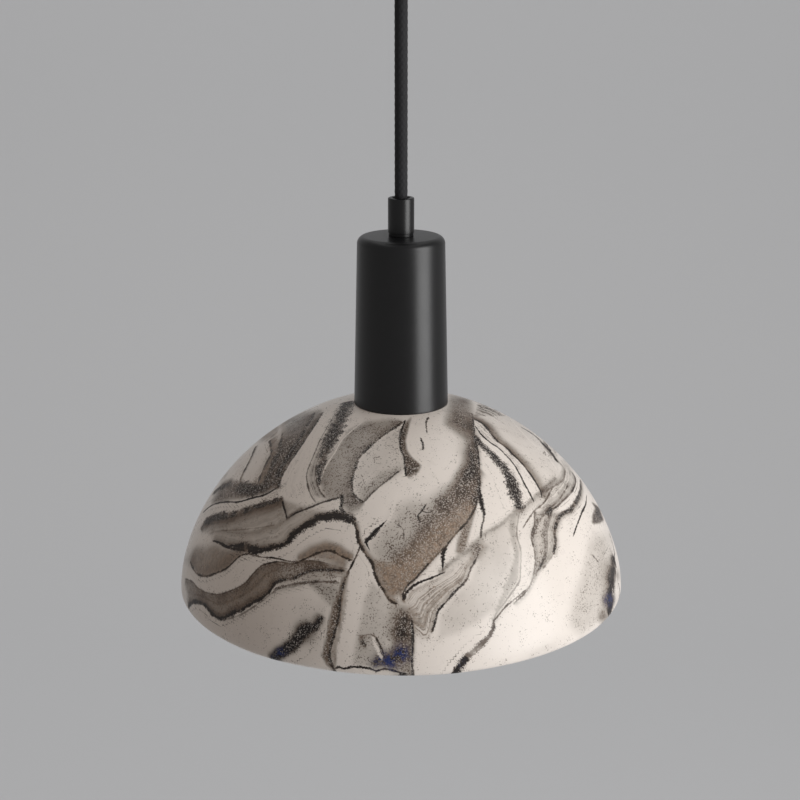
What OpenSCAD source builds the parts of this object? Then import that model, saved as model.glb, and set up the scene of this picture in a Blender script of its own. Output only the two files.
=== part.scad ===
// A ceramic dome pendant light, hung from a ceiling canopy by a fabric-covered cord.
// Millimetres. The origin is the middle of the ceiling face, +Z is up, and all hangs below z = 0.

/* [Shade] */
// Diameter of the shade over its rim
shade_d = 212; // [180:1:260]
// Height from the lowest point of the rim to the seat that the cup stands on
shade_h = 90.5; // [75:0.5:120]
// Thickness of the ceramic wall
shade_wall = 4.5; // [3:0.5:7]
// How full the dome's curve is across; 2 is an ellipse
curve_across = 1.96; // [1.8:0.02:2.4]
// How full the dome's curve is upwards; 2 is an ellipse
curve_up = 1.74; // [1.6:0.02:2.4]
// Diameter of the hole at the top of the shade
hole_d = 41; // [40:0.5:42]
// Width of the flat seat around that hole, past the cup's edge
seat_margin = 0.6; // [0.2:0.1:3]

/* [Cup] */
// Diameter of the cup's open lower end
cup_d = 44; // [43:0.5:50]
// Diameter of the cup's closed upper end
cup_top_d = 40.4; // [39:0.1:48]
// Height of the cup
cup_h = 79; // [72:1:100]
// Thickness of the cup's sheet metal
cup_wall = 1; // [0.6:0.1:1.5]
// Radius of the rounded edge at the cup's top
cup_round = 3.5; // [2.5:0.5:6]

/* [Cord] */
// Diameter of the fabric-covered cord
cord_d = 6; // [5:0.1:7]
// Free drop of the cord between the two grips
cord_l = 92; // [60:1:1500]
// Diameter of one insulated conductor
wire_d = 2.2; // [1.8:0.1:2.4]
// Diameter of a stripped copper end
copper_d = 1.3; // [1:0.1:1.3]

/* [Cord grips] */
// Diameter of a grip's barrel
grip_d = 12; // [11:0.5:16]
// Height of a grip's barrel
grip_h = 17.5; // [14:0.5:24]
// Diameter of a grip's threaded stem
stem_d = 9.7; // [9.5:0.1:10]
// Length of a grip's threaded stem
stem_l = 10; // [10:0.5:12]
// Diameter of the wide mouth that lets the cord lean
mouth_d = 8; // [8:0.5:9]
// How far inside the mouth the free cord ends, which is where it bends
mouth_in = 2; // [1.5:0.5:3]
// Diameter of the screw that clamps the cord
clamp_d = 3; // [2.5:0.5:4]
// Thickness of the washers on the stems
washer_t = 1; // [0.6:0.1:1]
// Thickness of the stem nuts
nut_t = 5; // [3:0.5:5]
// Width of the stem nuts across flats
nut_w = 14; // [13:0.5:15]

/* [Lampholder] */
// Diameter of the lampholder's threaded skirt
skirt_d = 38.6; // [38:0.1:39]
// Height of the lampholder's body
holder_h = 56.5; // [54:0.5:60]
// How far the skirt reaches past the shade ring
skirt_past = 1.3; // [0.5:0.1:3]
// Diameter of the mouth that the bulb's neck enters
socket_mouth_d = 30.4; // [29.5:0.1:31]
// Depth of that mouth, before the screw shell starts
socket_mouth_l = 9.5; // [8:0.5:11]
// Inner diameter of the screw shell
shell_d = 26.8; // [26.6:0.1:27]
// How far the screw shell reaches past the bulb's base
shell_over = 2; // [1.5:0.5:4]
// Width of the steel strap that carries the lampholder
carrier_w = 14; // [12:1:16]
// Distance across the outside of that strap's legs
carrier_span = 29; // [28:0.5:30]
// Thickness of that strap
carrier_t = 1.5; // [1:0.1:2]

/* [Shade ring] */
// Diameter of the shade ring's flange
ring_d = 57; // [54:0.5:60]
// Thickness of the flange
ring_flange = 3; // [2:0.5:4]
// Diameter of the ring's gripping hub
ring_hub_d = 47; // [45:0.5:50]
// Height of the whole ring
ring_h = 9; // [7:0.5:10]
// Number of finger ribs around the hub
ring_ribs = 24; // [12:1:36]
// Thickness of the rubber gasket between the ring and the shade
gasket_t = 1.5; // [1:0.1:3]

/* [Bulb] */
// Diameter of the bulb's globe
bulb_d = 60; // [50:1:70]
// Diameter of the bulb's neck
neck_d = 28; // [27:0.5:29]
// Radius of the hollow curve from the neck to the globe
neck_curve = 26; // [18:1:40]
// Length of the straight part of the bulb's neck
neck_l = 8; // [2:0.5:16]
// Diameter over the bulb's screw base
base_d = 26.2; // [26:0.1:26.4]
// Length of the screw base
base_l = 22; // [20:0.5:23]
// Thickness of the bulb's glass
glass_t = 0.9; // [0.6:0.1:1.5]

/* [Canopy] */
// Diameter of the ceiling canopy
canopy_d = 120; // [110:1:150]
// Height of the ceiling canopy
canopy_h = 25; // [24:1:35]
// Thickness of the canopy's sheet metal
canopy_wall = 1.2; // [0.8:0.1:1.6]
// Radius of the canopy's rounded lower edge
canopy_round = 4; // [3:0.5:8]

/* [Ceiling strap] */
// Width of the strap that screws to the ceiling box
strap_w = 22; // [18:1:26]
// Thickness of the strap
strap_t = 2; // [1.5:0.1:2.5]
// Distance between the middles of the two slots
slot_pitch = 79.4; // [76:0.1:84]
// Length of a slot from end to end
slot_l = 14.1; // [10:0.1:16]
// Width of a slot
slot_w = 4.6; // [4:0.1:5.5]
// Height of the turned-down ears
ear_h = 15; // [12:1:18]
// Height of the side screws below the ceiling
side_screw_z = 8; // [6:0.5:9]
// Thread diameter of the canopy's side screws
side_screw_d = 3.9; // [3:0.1:4.2]
// Diameter of the hole for the supply cable
supply_hole_d = 10.4; // [9:0.1:10.4]

/* [Terminal block] */
// Distance between two poles of the terminal block
pole_pitch = 9; // [8.5:0.1:10]
// Length of the block along its wire holes
block_l = 17; // [15:1:18]
// Height of the block
block_h = 13; // [12:0.5:13]
// Distance from the middle of the canopy to the block
block_x = 14; // [12:0.5:15]
// Bore of the brass terminal tubes
tube_bore = 3.6; // [3.2:0.1:3.8]

/* [Hidden] */
// Gap of a thread or a shaft that is screwed or pushed in, on the radius
fit = 0.05;
// Gap of a part that a hand slides in or turns, on the radius
play = 0.3;
// Room left between the free cord's end and the clamped cord, so that it can lean
lean_gap = 0.9;
// Number of steps along each side of the dome's outline
dome_steps = 26;
// Faces around a wire, and around the cord
wire_sides = 8;
cord_sides = 12;
$fn = 72;

// Levels, from the ceiling down
canopy_floor = -canopy_h;
canopy_mouth = canopy_floor - grip_h;
cup_mouth = canopy_mouth - cord_l;
cup_top = cup_mouth - grip_h;
seat = cup_top - cup_h;

// Radii
seat_r = cup_d / 2 + seat_margin;
bore_r = cord_d / 2 + play;
stem_hole_r = stem_d / 2 + play;
lip_r = shade_wall / 2;

// Shade: the dome's curve rises from the middle of the rounded lip
rim_r = shade_d / 2;
inner_rim_r = rim_r - shade_wall;
under_r = ring_d / 2 + 1;
apex = (shade_h - lip_r) / rise(seat_r / rim_r);
inner_apex = apex - shade_wall;
underside = lip_r + inner_apex * rise(under_r / inner_rim_r);
seat_t = shade_h - underside;

// Stack below the seat, from the shade's underside down
gasket_z = seat - seat_t;
ring_z = gasket_z - gasket_t;
holder_z = ring_z - ring_h - skirt_past;
holder_top = holder_z + holder_h;

// Inside the lampholder, measured up from the skirt's lower edge
shell_z = socket_mouth_l + 0.5;
shell_sheet = 0.5;
shell_l = base_l + shell_over;
shell_top = shell_z + shell_l;
shell_flange_r = 8;
pocket_r = shell_d / 2 + shell_sheet + 0.1;
eyelet_top = shell_top + 1.4;
contact_h = 3.1;
pocket_top = eyelet_top + contact_h;
recess_h = 9;
recess_floor = holder_h - recess_h;
terminal_t = 1;
terminal_y = 10;
terminal_screw_d = 3;
tongue_w = 3;
tongue_t = 0.8;
tongue_y = 6.7;
live_tongue_x = 0;
neutral_tongue_x = 5.1;
contact_w = 6;
clamp_gap = copper_d + 0.1;

// Where the strap's legs, feet and screws stand
carrier_top = cup_top - cup_wall - washer_t;
foot_x = 10.5;
carrier_screw_d = 3;
earth_rise = 18;
earth_z = holder_top + earth_rise;

// Screw heads: diameter and height, in that order
side_head = [7.6, 2.6];
earth_head = [7.6, 2.4];
clamp_head = [4, 1.6];
carrier_head = [5, 1.8];
carrier_earth_head = [5.6, 2];
terminal_head = [5.4, 1.9];

// Bulb, measured up from the skirt's lower edge
base_z = shell_z - 1;
globe_r = bulb_d / 2;
neck_r = neck_d / 2;
neck_rise = sqrt(pow(globe_r + neck_curve, 2) - pow(neck_r + neck_curve, 2));
neck_angle = atan2(neck_rise, neck_r + neck_curve);
globe_z = base_z - neck_l - neck_rise;

// Ceiling side
canopy_in_r = canopy_d / 2 - canopy_wall;
ear_x = sqrt(pow(canopy_in_r, 2) - pow(strap_w / 2, 2)) - play;
block_w = 3 * pole_pitch;
pole_z = -strap_t - block_h / 2;
tube_r = tube_bore / 2 + 0.75;
clamp_x = [block_x + 4.5, block_x + block_l - 4.5];
clamp_screw_d = 2.4;
earth_screw_x = -22;

// The three conductors leave the sheath side by side, a third of a turn apart
wire_ring_r = wire_d / sqrt(3) + 0.08;

// Functions

// Share of the apex height at which the dome has this share of its rim radius
function rise(share) = pow(1 - pow(share, curve_across), 1 / curve_up);

// Radius of a dome of that rim radius and apex height, at a height above its lip
function dome_r(radius, height, z) = radius * pow(1 - pow(z / height, curve_up), 1 / curve_across);

// One side of the dome's outline, from the lip up to z_end
function dome_side(radius, height, z_end) = [
    for (k = [0:dome_steps])
        let (z = z_end * sin(90 * k / dome_steps)) [dome_r(radius, height, z), lip_r + z]
];

// Points of an arc from angle a to angle b
function arc(cx, cy, r, a, b, steps = 8) = [
    for (k = [0:steps]) let (t = a + (b - a) * k / steps) [cx + r * cos(t), cy + r * sin(t)]
];

function reversed(list) = [for (k = [len(list) - 1:-1:0]) list[k]];

// Outline of a spun cap that is open at z = 0 and closed, with a hole, at z = h
function cap_outline(d_open, d_closed, h, wall, round, hole_r) = concat(
    [[d_open / 2, 0]],
    arc(d_closed / 2 - round, h - round, round, 0, 90),
    [[hole_r, h], [hole_r, h - wall]],
    arc(d_closed / 2 - round, h - round, round - wall, 90, 0),
    [[d_open / 2 - wall, 0]]
);

function unit(v) = v / norm(v);

// A point of the smooth line through the hand-set points p, on the stretch after point i
function line_point(p, i, t) = let (
    a = p[max(i - 1, 0)],
    b = p[i],
    c = p[i + 1],
    d = p[min(i + 2, len(p) - 1)]
) ((2 * b) + (c - a) * t + (2 * a - 5 * b + 4 * c - d) * t * t + (3 * b - a - 3 * c + d) * t * t * t) / 2;

function smooth_line(p, steps) = concat(
    [for (i = [0:len(p) - 2]) for (k = [0:steps - 1]) line_point(p, i, k / steps)],
    [p[len(p) - 1]]
);

// A smooth line through p whose first and last stretches stay straight, for square ends
function route(p, steps) = concat(
    [p[0]],
    smooth_line([for (i = [1:len(p) - 2]) p[i]], steps),
    [p[len(p) - 1]]
);

// Direction of a line at its point i
function heading(line, i) = unit(line[min(i + 1, len(line) - 1)] - line[max(i - 1, 0)]);

// The points of one ring of a tube around a line
function ring_points(line, i, r, sides) = let (
    ahead = heading(line, i),
    across = unit(cross(ahead, [0.31, 0.17, 0.05] + (abs(ahead[0]) > 0.8 ? [0, 0.6, 0.9] : [1, 0, 0]))),
    up = cross(across, ahead)
) [for (s = [0:sides - 1]) line[i] + r * (cos(360 * s / sides) * across + sin(360 * s / sides) * up)];

// General modules

// A round tube of that radius along a line of points
module tube_along(line, r, sides) {
    rings = len(line);
    points = [for (i = [0:rings - 1]) each ring_points(line, i, r, sides)];
    side_faces = [
        for (i = [0:rings - 2]) for (s = [0:sides - 1])
            let (a = i * sides + s, b = i * sides + (s + 1) % sides)
            each [[a, b, b + sides], [a, b + sides, a + sides]]
    ];
    start_cap = [for (s = [1:sides - 2]) [0, s + 1, s]];
    last = (rings - 1) * sides;
    end_cap = [for (s = [1:sides - 2]) [last, last + s, last + s + 1]];
    polyhedron(points, concat(side_faces, start_cap, end_cap));
}

module washer(r_in, r_out, t) {
    difference() {
        cylinder(r = r_out, h = t);
        translate([0, 0, -1]) cylinder(r = r_in, h = t + 2);
    }
}

module hex_nut(across, r_in, t) {
    difference() {
        intersection() {
            cylinder(d = across / cos(30), h = t, $fn = 6);
            cylinder(d1 = across + 2.6 * t, d2 = across * 1.02, h = t);
        }
        translate([0, 0, -1]) cylinder(r = r_in, h = t + 2);
    }
}

// A slotted pan-head screw whose head stands on z = 0 and whose shank hangs below
module pan_screw(d, length, head_d, head_h) {
    difference() {
        rotate_extrude() polygon(concat(
            [[0, 0], [head_d / 2, 0], [head_d / 2, head_h * 0.45]],
            [for (a = [15:15:90]) [
                head_d / 2 - head_h * 0.55 * (1 - cos(a)),
                head_h * (0.45 + 0.55 * sin(a))
            ]],
            [[0, head_h]]
        ));
        translate([-head_d, -head_d * 0.07, head_h * 0.55]) cube([2 * head_d, head_d * 0.14, head_h]);
    }
    translate([0, 0, -length]) cylinder(d = d, h = length);
}

// A cord grip with its mouth up at z = 0, its barrel below that and its stem lowest
module grip() {
    edge = 0.6;
    r = grip_d / 2;
    difference() {
        union() {
            rotate_extrude() polygon([
                [0, 0], [r - edge, 0], [r, -edge], [r, -grip_h + 1.6], [r - 0.25, -grip_h + 1.35],
                [r - 0.25, -grip_h], [0, -grip_h]
            ]);
            translate([0, 0, -grip_h - stem_l]) cylinder(d = stem_d, h = stem_l + 1);
        }
        translate([0, 0, -grip_h - stem_l - 1]) cylinder(r = bore_r, h = grip_h + stem_l + 2);
        translate([0, 0, -mouth_in - lean_gap]) cylinder(d = mouth_d, h = mouth_in + lean_gap + 1);
        translate([0, 0, -0.5]) cylinder(d1 = mouth_d, d2 = mouth_d + 1.2, h = 0.6);
        translate([0, 0, -grip_h / 2]) rotate([-90, 0, 0]) cylinder(d = clamp_d + 2 * fit, h = r + 1);
    }
}

// The screw in the back of a grip's barrel, driven in until it bears on the cord
module clamp_screw() {
    tip = cord_d / 2 + fit;
    length = grip_d / 2 - tip - 0.3;
    translate([0, 0, -grip_h / 2]) rotate([-90, 0, 0]) translate([0, 0, tip]) difference() {
        cylinder(d = clamp_d, h = length);
        translate([0, 0, length - 1.4]) cylinder(d = clamp_d * 0.58, h = 2, $fn = 6);
    }
}

// The clamped end of the cord's sheath, from inside a grip's mouth to a little past its stem
module sheath_end(past) {
    length = grip_h + stem_l + past - mouth_in - lean_gap;
    translate([0, 0, -mouth_in - lean_gap - length]) cylinder(d = cord_d, h = length);
}

// Ceiling side

module slot_hole() {
    end = (slot_l - slot_w) / 2;
    translate([0, 0, -strap_t - 1]) linear_extrude(strap_t + 2) {
        translate([-end, 0]) circle(d = slot_w);
        translate([end, 0]) circle(d = slot_w);
        translate([-end, -slot_w / 2]) square([2 * end, slot_w]);
    }
}

module mounting_strap() {
    round = 2.5;
    color("lightsteelblue") difference() {
        rotate([90, 0, 0]) linear_extrude(strap_w, center = true) polygon(concat(
            [[-ear_x, -ear_h], [-ear_x + strap_t, -ear_h], [-ear_x + strap_t, -strap_t]],
            [[ear_x - strap_t, -strap_t], [ear_x - strap_t, -ear_h], [ear_x, -ear_h]],
            arc(ear_x - round, -round, round, 0, 90, 5),
            arc(-ear_x + round, -round, round, 90, 180, 5)
        ));
        for (side = [-1, 1]) translate([side * slot_pitch / 2, 0, 0]) slot_hole();
        translate([0, 0, -side_screw_z]) rotate([0, 90, 0])
            cylinder(d = side_screw_d + 2 * fit, h = 3 * ear_x, center = true);
        translate([0, 0, -strap_t - 1]) cylinder(d = supply_hole_d, h = strap_t + 2);
        translate([earth_screw_x, 0, -strap_t - 1])
            cylinder(d = side_screw_d + 2 * fit, h = strap_t + 2);
        for (side = [-1, 1]) translate([block_x + block_l / 2, side * pole_pitch / 2, -strap_t - 1])
            cylinder(d = clamp_screw_d + 2 * fit, h = strap_t + 2);
    }
}

module earth_screw() {
    color("seagreen") translate([earth_screw_x, 0, -strap_t]) mirror([0, 0, 1])
        pan_screw(side_screw_d, strap_t - 0.2, earth_head[0], earth_head[1]);
}

module terminal_block() {
    color("whitesmoke") difference() {
        translate([block_x, -block_w / 2, -strap_t - block_h]) cube([block_l, block_w, block_h]);
        for (pole = [-1:1]) {
            translate([block_x - 1, pole * pole_pitch, pole_z]) rotate([0, 90, 0])
                cylinder(r = tube_r + fit, h = block_l + 2);
            for (x = clamp_x) translate([x, pole * pole_pitch, -strap_t - block_h - 1])
                cylinder(d = clamp_head[0] + 2 * play, h = block_h / 2 - tube_r + 1.5);
        }
        // Grooves between the poles, so that a pole can be cut off
        for (side = [-1, 1]) for (x = [block_x - 1, block_x + block_l - 3])
            translate([x, side * pole_pitch / 2 - 0.8, -strap_t - block_h - 1])
                cube([4, 1.6, block_h + 2]);
        for (side = [-1, 1])
            translate([block_x + block_l / 2, side * pole_pitch / 2, -strap_t - block_h - 1])
                cylinder(d = clamp_screw_d + 2 * fit, h = block_h + 2);
    }
}

module terminal_tubes() {
    color("goldenrod") for (pole = [-1:1]) difference() {
        translate([block_x + 1.5, pole * pole_pitch, pole_z]) rotate([0, 90, 0])
            cylinder(r = tube_r, h = block_l - 3);
        translate([block_x, pole * pole_pitch, pole_z]) rotate([0, 90, 0])
            cylinder(d = tube_bore, h = block_l);
        for (x = clamp_x) translate([x, pole * pole_pitch, pole_z - tube_r - 1])
            cylinder(d = clamp_screw_d + 2 * fit, h = tube_r + 1);
    }
}

// The pendant's side is screwed down on its wires, and the supply's side stands open
module terminal_clamp_screws() {
    head_z = pole_z - tube_r - 1.2;
    tip_z = [wire_z - wire_d / 2 - fit, pole_z - tube_bore / 2 - 0.1];
    color("silver") for (pole = [-1:1]) for (side = [0, 1])
        translate([clamp_x[side], pole * pole_pitch, head_z]) mirror([0, 0, 1])
            pan_screw(clamp_screw_d, tip_z[side] - head_z, clamp_head[0], clamp_head[1]);
}

module block_screws() {
    color("silver") for (side = [-1, 1])
        translate([block_x + block_l / 2, side * pole_pitch / 2, -strap_t - block_h])
            mirror([0, 0, 1])
                pan_screw(clamp_screw_d, block_h + strap_t - 0.3, clamp_head[0], clamp_head[1]);
}

module canopy() {
    color([0.05, 0.05, 0.05]) difference() {
        mirror([0, 0, 1]) rotate_extrude()
            polygon(cap_outline(canopy_d, canopy_d, canopy_h, canopy_wall, canopy_round, stem_hole_r));
        translate([0, 0, -side_screw_z]) rotate([0, 90, 0])
            cylinder(d = side_screw_d + 2 * play, h = canopy_d + 2, center = true);
    }
}

module canopy_screws() {
    length = canopy_d / 2 - ear_x + strap_t + 1;
    color([0.05, 0.05, 0.05]) for (side = [0, 180]) rotate([0, 0, side])
        translate([canopy_d / 2, 0, -side_screw_z]) rotate([0, 90, 0])
            pan_screw(side_screw_d, length, side_head[0], side_head[1]);
}

module upturned(z) {
    translate([0, 0, z]) mirror([0, 0, 1]) children();
}

module canopy_grip() {
    color([0.05, 0.05, 0.05]) upturned(canopy_mouth) grip();
}

module canopy_grip_clamp_screw() {
    color([0.2, 0.2, 0.2]) upturned(canopy_mouth) clamp_screw();
}

module canopy_grip_washer() {
    color("silver") translate([0, 0, canopy_floor + canopy_wall]) washer(stem_d / 2 + fit, 9, washer_t);
}

module canopy_grip_nut() {
    color("goldenrod") translate([0, 0, canopy_floor + canopy_wall + washer_t])
        hex_nut(nut_w, stem_d / 2 + fit, nut_t);
}

// The sheath ends just past the stem, and the wires bend over to the terminal block
sheath_past = 1.5;
head_end = canopy_floor + stem_l + sheath_past;
wire_z = pole_z + (tube_bore - wire_d) / 2 - fit;

module cord_head() {
    color([0.08, 0.08, 0.08]) upturned(canopy_mouth) sheath_end(sheath_past);
}

// A conductor from the sheath's end into the terminal tube of its pole
module canopy_wire(pole) {
    x = wire_ring_r * cos(120 * pole);
    y = wire_ring_r * sin(120 * pole);
    pole_y = pole * pole_pitch;
    rise_z = wire_z - head_end;
    line = route([
        [x, y, head_end],
        [x, y, head_end + 0.15 * rise_z],
        [x + 0.5, y * 1.1, head_end + 0.45 * rise_z],
        [x + 2.6, y * 1.5, head_end + 0.88 * rise_z],
        [0.55 * block_x, 0.5 * y + 0.6 * pole_y, wire_z],
        [block_x - 0.8, pole_y, wire_z],
        [block_x + 2, pole_y, wire_z],
        [block_x + 7, pole_y, wire_z]
    ], 3);
    tube_along(line, wire_d / 2, wire_sides);
}

module canopy_live_wire() {
    color("saddlebrown") canopy_wire(-1);
}

module canopy_neutral_wire() {
    color("whitesmoke") canopy_wire(0);
}

module canopy_earth_wire() {
    color("seagreen") canopy_wire(1);
}

// Cord

// The taut free stretch, from inside the canopy grip's mouth down to inside the cup grip's mouth
module cord() {
    top = canopy_mouth + mouth_in;
    bottom = cup_mouth - mouth_in;
    rings = 8;
    color([0.08, 0.08, 0.08]) tube_along(
        [for (k = [0:rings]) [0, 0, top + (bottom - top) * k / rings]], cord_d / 2, cord_sides
    );
}

// Pendant

module cup_grip() {
    color([0.05, 0.05, 0.05]) translate([0, 0, cup_mouth]) grip();
}

module cup_grip_clamp_screw() {
    color([0.2, 0.2, 0.2]) translate([0, 0, cup_mouth]) clamp_screw();
}

module socket_cup() {
    color([0.05, 0.05, 0.05]) translate([0, 0, seat]) rotate_extrude()
        polygon(cap_outline(cup_d, cup_top_d, cup_h, cup_wall, cup_round, stem_hole_r));
}

module cup_washer() {
    color("silver") translate([0, 0, carrier_top]) washer(stem_d / 2 + fit, 8.5, washer_t);
}

module cup_nut() {
    color("goldenrod") translate([0, 0, carrier_top - carrier_t]) mirror([0, 0, 1])
        hex_nut(nut_w, stem_d / 2 + fit, nut_t);
}

// The bent steel strap that hangs the lampholder from the grip's stem
module holder_carrier() {
    half = carrier_span / 2;
    in_half = half - carrier_t;
    foot_end = foot_x - 4;
    bend = 3;
    in_bend = bend - carrier_t;
    color("silver") difference() {
        rotate([90, 0, 0]) linear_extrude(carrier_w, center = true) polygon(concat(
            [[foot_end, holder_top], [half, holder_top]],
            arc(half - bend, carrier_top - bend, bend, 0, 90, 4),
            arc(-half + bend, carrier_top - bend, bend, 90, 180, 4),
            [[-half, holder_top], [-foot_end, holder_top]],
            [[-foot_end, holder_top + carrier_t], [-in_half, holder_top + carrier_t]],
            arc(-half + bend, carrier_top - bend, in_bend, 180, 90, 4),
            arc(half - bend, carrier_top - bend, in_bend, 90, 0, 4),
            [[in_half, holder_top + carrier_t], [foot_end, holder_top + carrier_t]]
        ));
        translate([0, 0, carrier_top - carrier_t - 1]) cylinder(r = stem_hole_r, h = carrier_t + 2);
        for (side = [-1, 1]) translate([side * foot_x, 0, holder_top - 1])
            cylinder(d = carrier_screw_d + 0.4, h = carrier_t + 2);
        translate([0, 0, earth_z]) rotate([0, 90, 0])
            cylinder(d = carrier_screw_d + 2 * fit, h = half + 1);
    }
}

module carrier_screws() {
    color("silver") for (side = [-1, 1])
        translate([side * foot_x, 0, holder_top + carrier_t])
            pan_screw(carrier_screw_d, carrier_t + 6, carrier_head[0], carrier_head[1]);
}

module carrier_earth_screw() {
    in_half = carrier_span / 2 - carrier_t;
    color("seagreen") translate([in_half - clamp_gap, 0, earth_z]) rotate([0, -90, 0])
        pan_screw(
            carrier_screw_d, clamp_gap + carrier_t + 0.8, carrier_earth_head[0], carrier_earth_head[1]
        );
}

// The sheath ends below the cup's nut, and its three wires part there
tail_past = 2;
tail_end = cup_top - stem_l - tail_past;

module cord_tail() {
    color([0.08, 0.08, 0.08]) translate([0, 0, cup_mouth]) sheath_end(tail_past);
}

// Height of a stripped end in a lampholder terminal, and of the insulation above it
clamp_z = holder_z + recess_floor + terminal_t + clamp_gap / 2;
strip_z = clamp_z + 3.2;
strip_x = 5.4;
strip_y = terminal_y + 0.6;

// A conductor down to a lampholder terminal, leaving the sheath on that side of the terminal's line
module terminal_wire(side) {
    x = side * wire_ring_r * sin(30);
    y = wire_ring_r * cos(30);
    drop = tail_end - holder_top;
    line = route([
        [x, y, tail_end],
        [x, y, tail_end - 0.04 * drop],
        [x + 0.3, y + 0.5, tail_end - 0.18 * drop],
        [1.5, 5, tail_end - 0.47 * drop],
        [4, 9.6, tail_end - 0.82 * drop],
        [strip_x, strip_y, holder_top],
        [strip_x, strip_y, strip_z]
    ], 4);
    tube_along(line, wire_d / 2, wire_sides);
}

module live_wire() {
    color("saddlebrown") terminal_wire(-1);
}

module neutral_wire() {
    color("whitesmoke") rotate([0, 0, 180]) terminal_wire(1);
}

// The earth wire's insulation ends beside the green screw's head
earth_strip = [9.4, 5.4, earth_z + 5.6];
earth_x = carrier_span / 2 - carrier_t - clamp_gap / 2;

module earth_wire() {
    drop = tail_end - earth_strip[2];
    line = route([
        [wire_ring_r, 0, tail_end],
        [wire_ring_r, 0, tail_end - 0.12 * drop],
        [wire_ring_r + 0.6, 0.3, tail_end - 0.35 * drop],
        [4.2, 2.2, tail_end - 0.6 * drop],
        [earth_strip[0] - 1.6, earth_strip[1] - 0.8, tail_end - 0.7 * drop],
        earth_strip + [0, 0, 0.6],
        earth_strip
    ], 4);
    color("yellowgreen") tube_along(line, wire_d / 2, wire_sides);
}

// The copper ends: two hooked beside the terminal screws and one beside the green screw
module stripped_ends() {
    beside = terminal_screw_d / 2 + copper_d / 2 + fit;
    earth_over = carrier_screw_d / 2 + copper_d / 2 + fit;
    color("peru") {
        for (turn = [0, 180]) rotate([0, 0, turn]) tube_along(route([
            [strip_x, strip_y, strip_z],
            [strip_x, strip_y, strip_z - 0.5],
            [strip_x - 0.1, strip_y + 0.6, clamp_z + 1.2],
            [beside + 1, terminal_y + 2.4, clamp_z],
            [beside, terminal_y + 1, clamp_z],
            [beside, terminal_y - 2, clamp_z]
        ], 4), copper_d / 2, wire_sides);
        tube_along(route([
            earth_strip,
            earth_strip - [0, 0, 0.5],
            earth_strip + [1.5, -0.2, -1.6],
            [earth_x, 3.4, earth_z + earth_over + 0.2],
            [earth_x, 1, earth_z + earth_over],
            [earth_x, -2, earth_z + earth_over]
        ], 4), copper_d / 2, wire_sides);
    }
}

// The slot that a terminal's tongue comes down through, into the screw shell's pocket
module tongue_slot(x) {
    translate([x - tongue_w / 2 - 0.2, tongue_y - 0.2, pocket_top - 1])
        cube([tongue_w + 0.4, tongue_t + 0.4, recess_floor - pocket_top + 2]);
}

// The moulded body: a threaded skirt below, a pocket for the screw shell, and two terminal recesses
module lampholder_body() {
    r = skirt_d / 2;
    upper_r = r - 2;
    mouth_edge = 0.8;
    shoulder = [holder_h - 18, holder_h - 15];
    recess_corner = [-4.2, 6.4];
    recess_size = [11.4, 7.4];
    color([0.07, 0.07, 0.07]) translate([0, 0, holder_z]) difference() {
        rotate_extrude() polygon([
            [socket_mouth_d / 2 + mouth_edge, 0], [r - mouth_edge, 0], [r, mouth_edge],
            [r, shoulder[0]], [upper_r, shoulder[1]], [upper_r, holder_h - 1],
            [upper_r - 1, holder_h], [0, holder_h], [0, pocket_top], [pocket_r, pocket_top],
            [pocket_r, socket_mouth_l], [socket_mouth_d / 2, socket_mouth_l],
            [socket_mouth_d / 2, mouth_edge]
        ]);
        for (turn = [0, 180]) rotate([0, 0, turn]) {
            translate([recess_corner[0], recess_corner[1], recess_floor])
                cube([recess_size[0], recess_size[1], recess_h + 1]);
            translate([0, terminal_y, recess_floor - 5]) cylinder(d = terminal_screw_d + 2 * fit, h = 6);
        }
        tongue_slot(live_tongue_x);
        rotate([0, 0, 180]) tongue_slot(neutral_tongue_x);
        for (side = [-1, 1]) translate([side * foot_x, 0, holder_h - 6.5])
            cylinder(d = carrier_screw_d + 2 * fit, h = 7);
    }
}

// The sheet-metal screw shell, with a flange turned in at its closed end
module screw_shell() {
    r = shell_d / 2;
    color("lightgray") translate([0, 0, holder_z + shell_z]) rotate_extrude() polygon([
        [r, 0], [r + shell_sheet, 0], [r + shell_sheet, shell_l], [shell_flange_r, shell_l],
        [shell_flange_r, shell_l - shell_sheet], [r, shell_l - shell_sheet]
    ]);
}

// The springy centre contact: a strip under the pocket's roof, folded back to press on the bulb
module centre_contact() {
    t = 0.6;
    low = -contact_h;
    fold_x = -7;
    fold_r = 0.9;
    fold_end = 220;
    color("goldenrod") translate([0, 0, holder_z + pocket_top]) rotate([90, 0, 90])
        linear_extrude(contact_w, center = true) polygon(concat(
            [[8.6, 0], [fold_x, 0]],
            arc(fold_x, -fold_r, fold_r, 90, fold_end, 5),
            [[-3, low], [3, low], [4.4, low + 0.9], [3.9, low + 1.2], [2.8, low + t], [-2.8, low + t]],
            arc(fold_x, -fold_r, fold_r - t, fold_end, 90, 5),
            [[8.6, -t]]
        ));
}

// A terminal plate in its recess, with a tongue at x that goes down through the body to tongue_end
module terminal_plate(x, tongue_end) {
    half_w = 3.6;
    plate_y = tongue_y - 0.1;
    end_x = max(half_w, x + tongue_w / 2);
    translate([0, 0, holder_z + recess_floor]) difference() {
        translate([-half_w, plate_y, 0]) cube([half_w + end_x, 7, terminal_t]);
        translate([0, terminal_y, -1])
            cylinder(d = terminal_screw_d + 2 * fit, h = terminal_t + 2);
    }
    translate([x - tongue_w / 2, tongue_y, holder_z + tongue_end])
        cube([tongue_w, tongue_t, recess_floor - tongue_end + terminal_t / 2]);
}

module live_terminal() {
    color("goldenrod") terminal_plate(live_tongue_x, pocket_top + 0.05);
}

module neutral_terminal() {
    color("silver") rotate([0, 0, 180]) terminal_plate(neutral_tongue_x, shell_top + 0.05);
}

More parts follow.
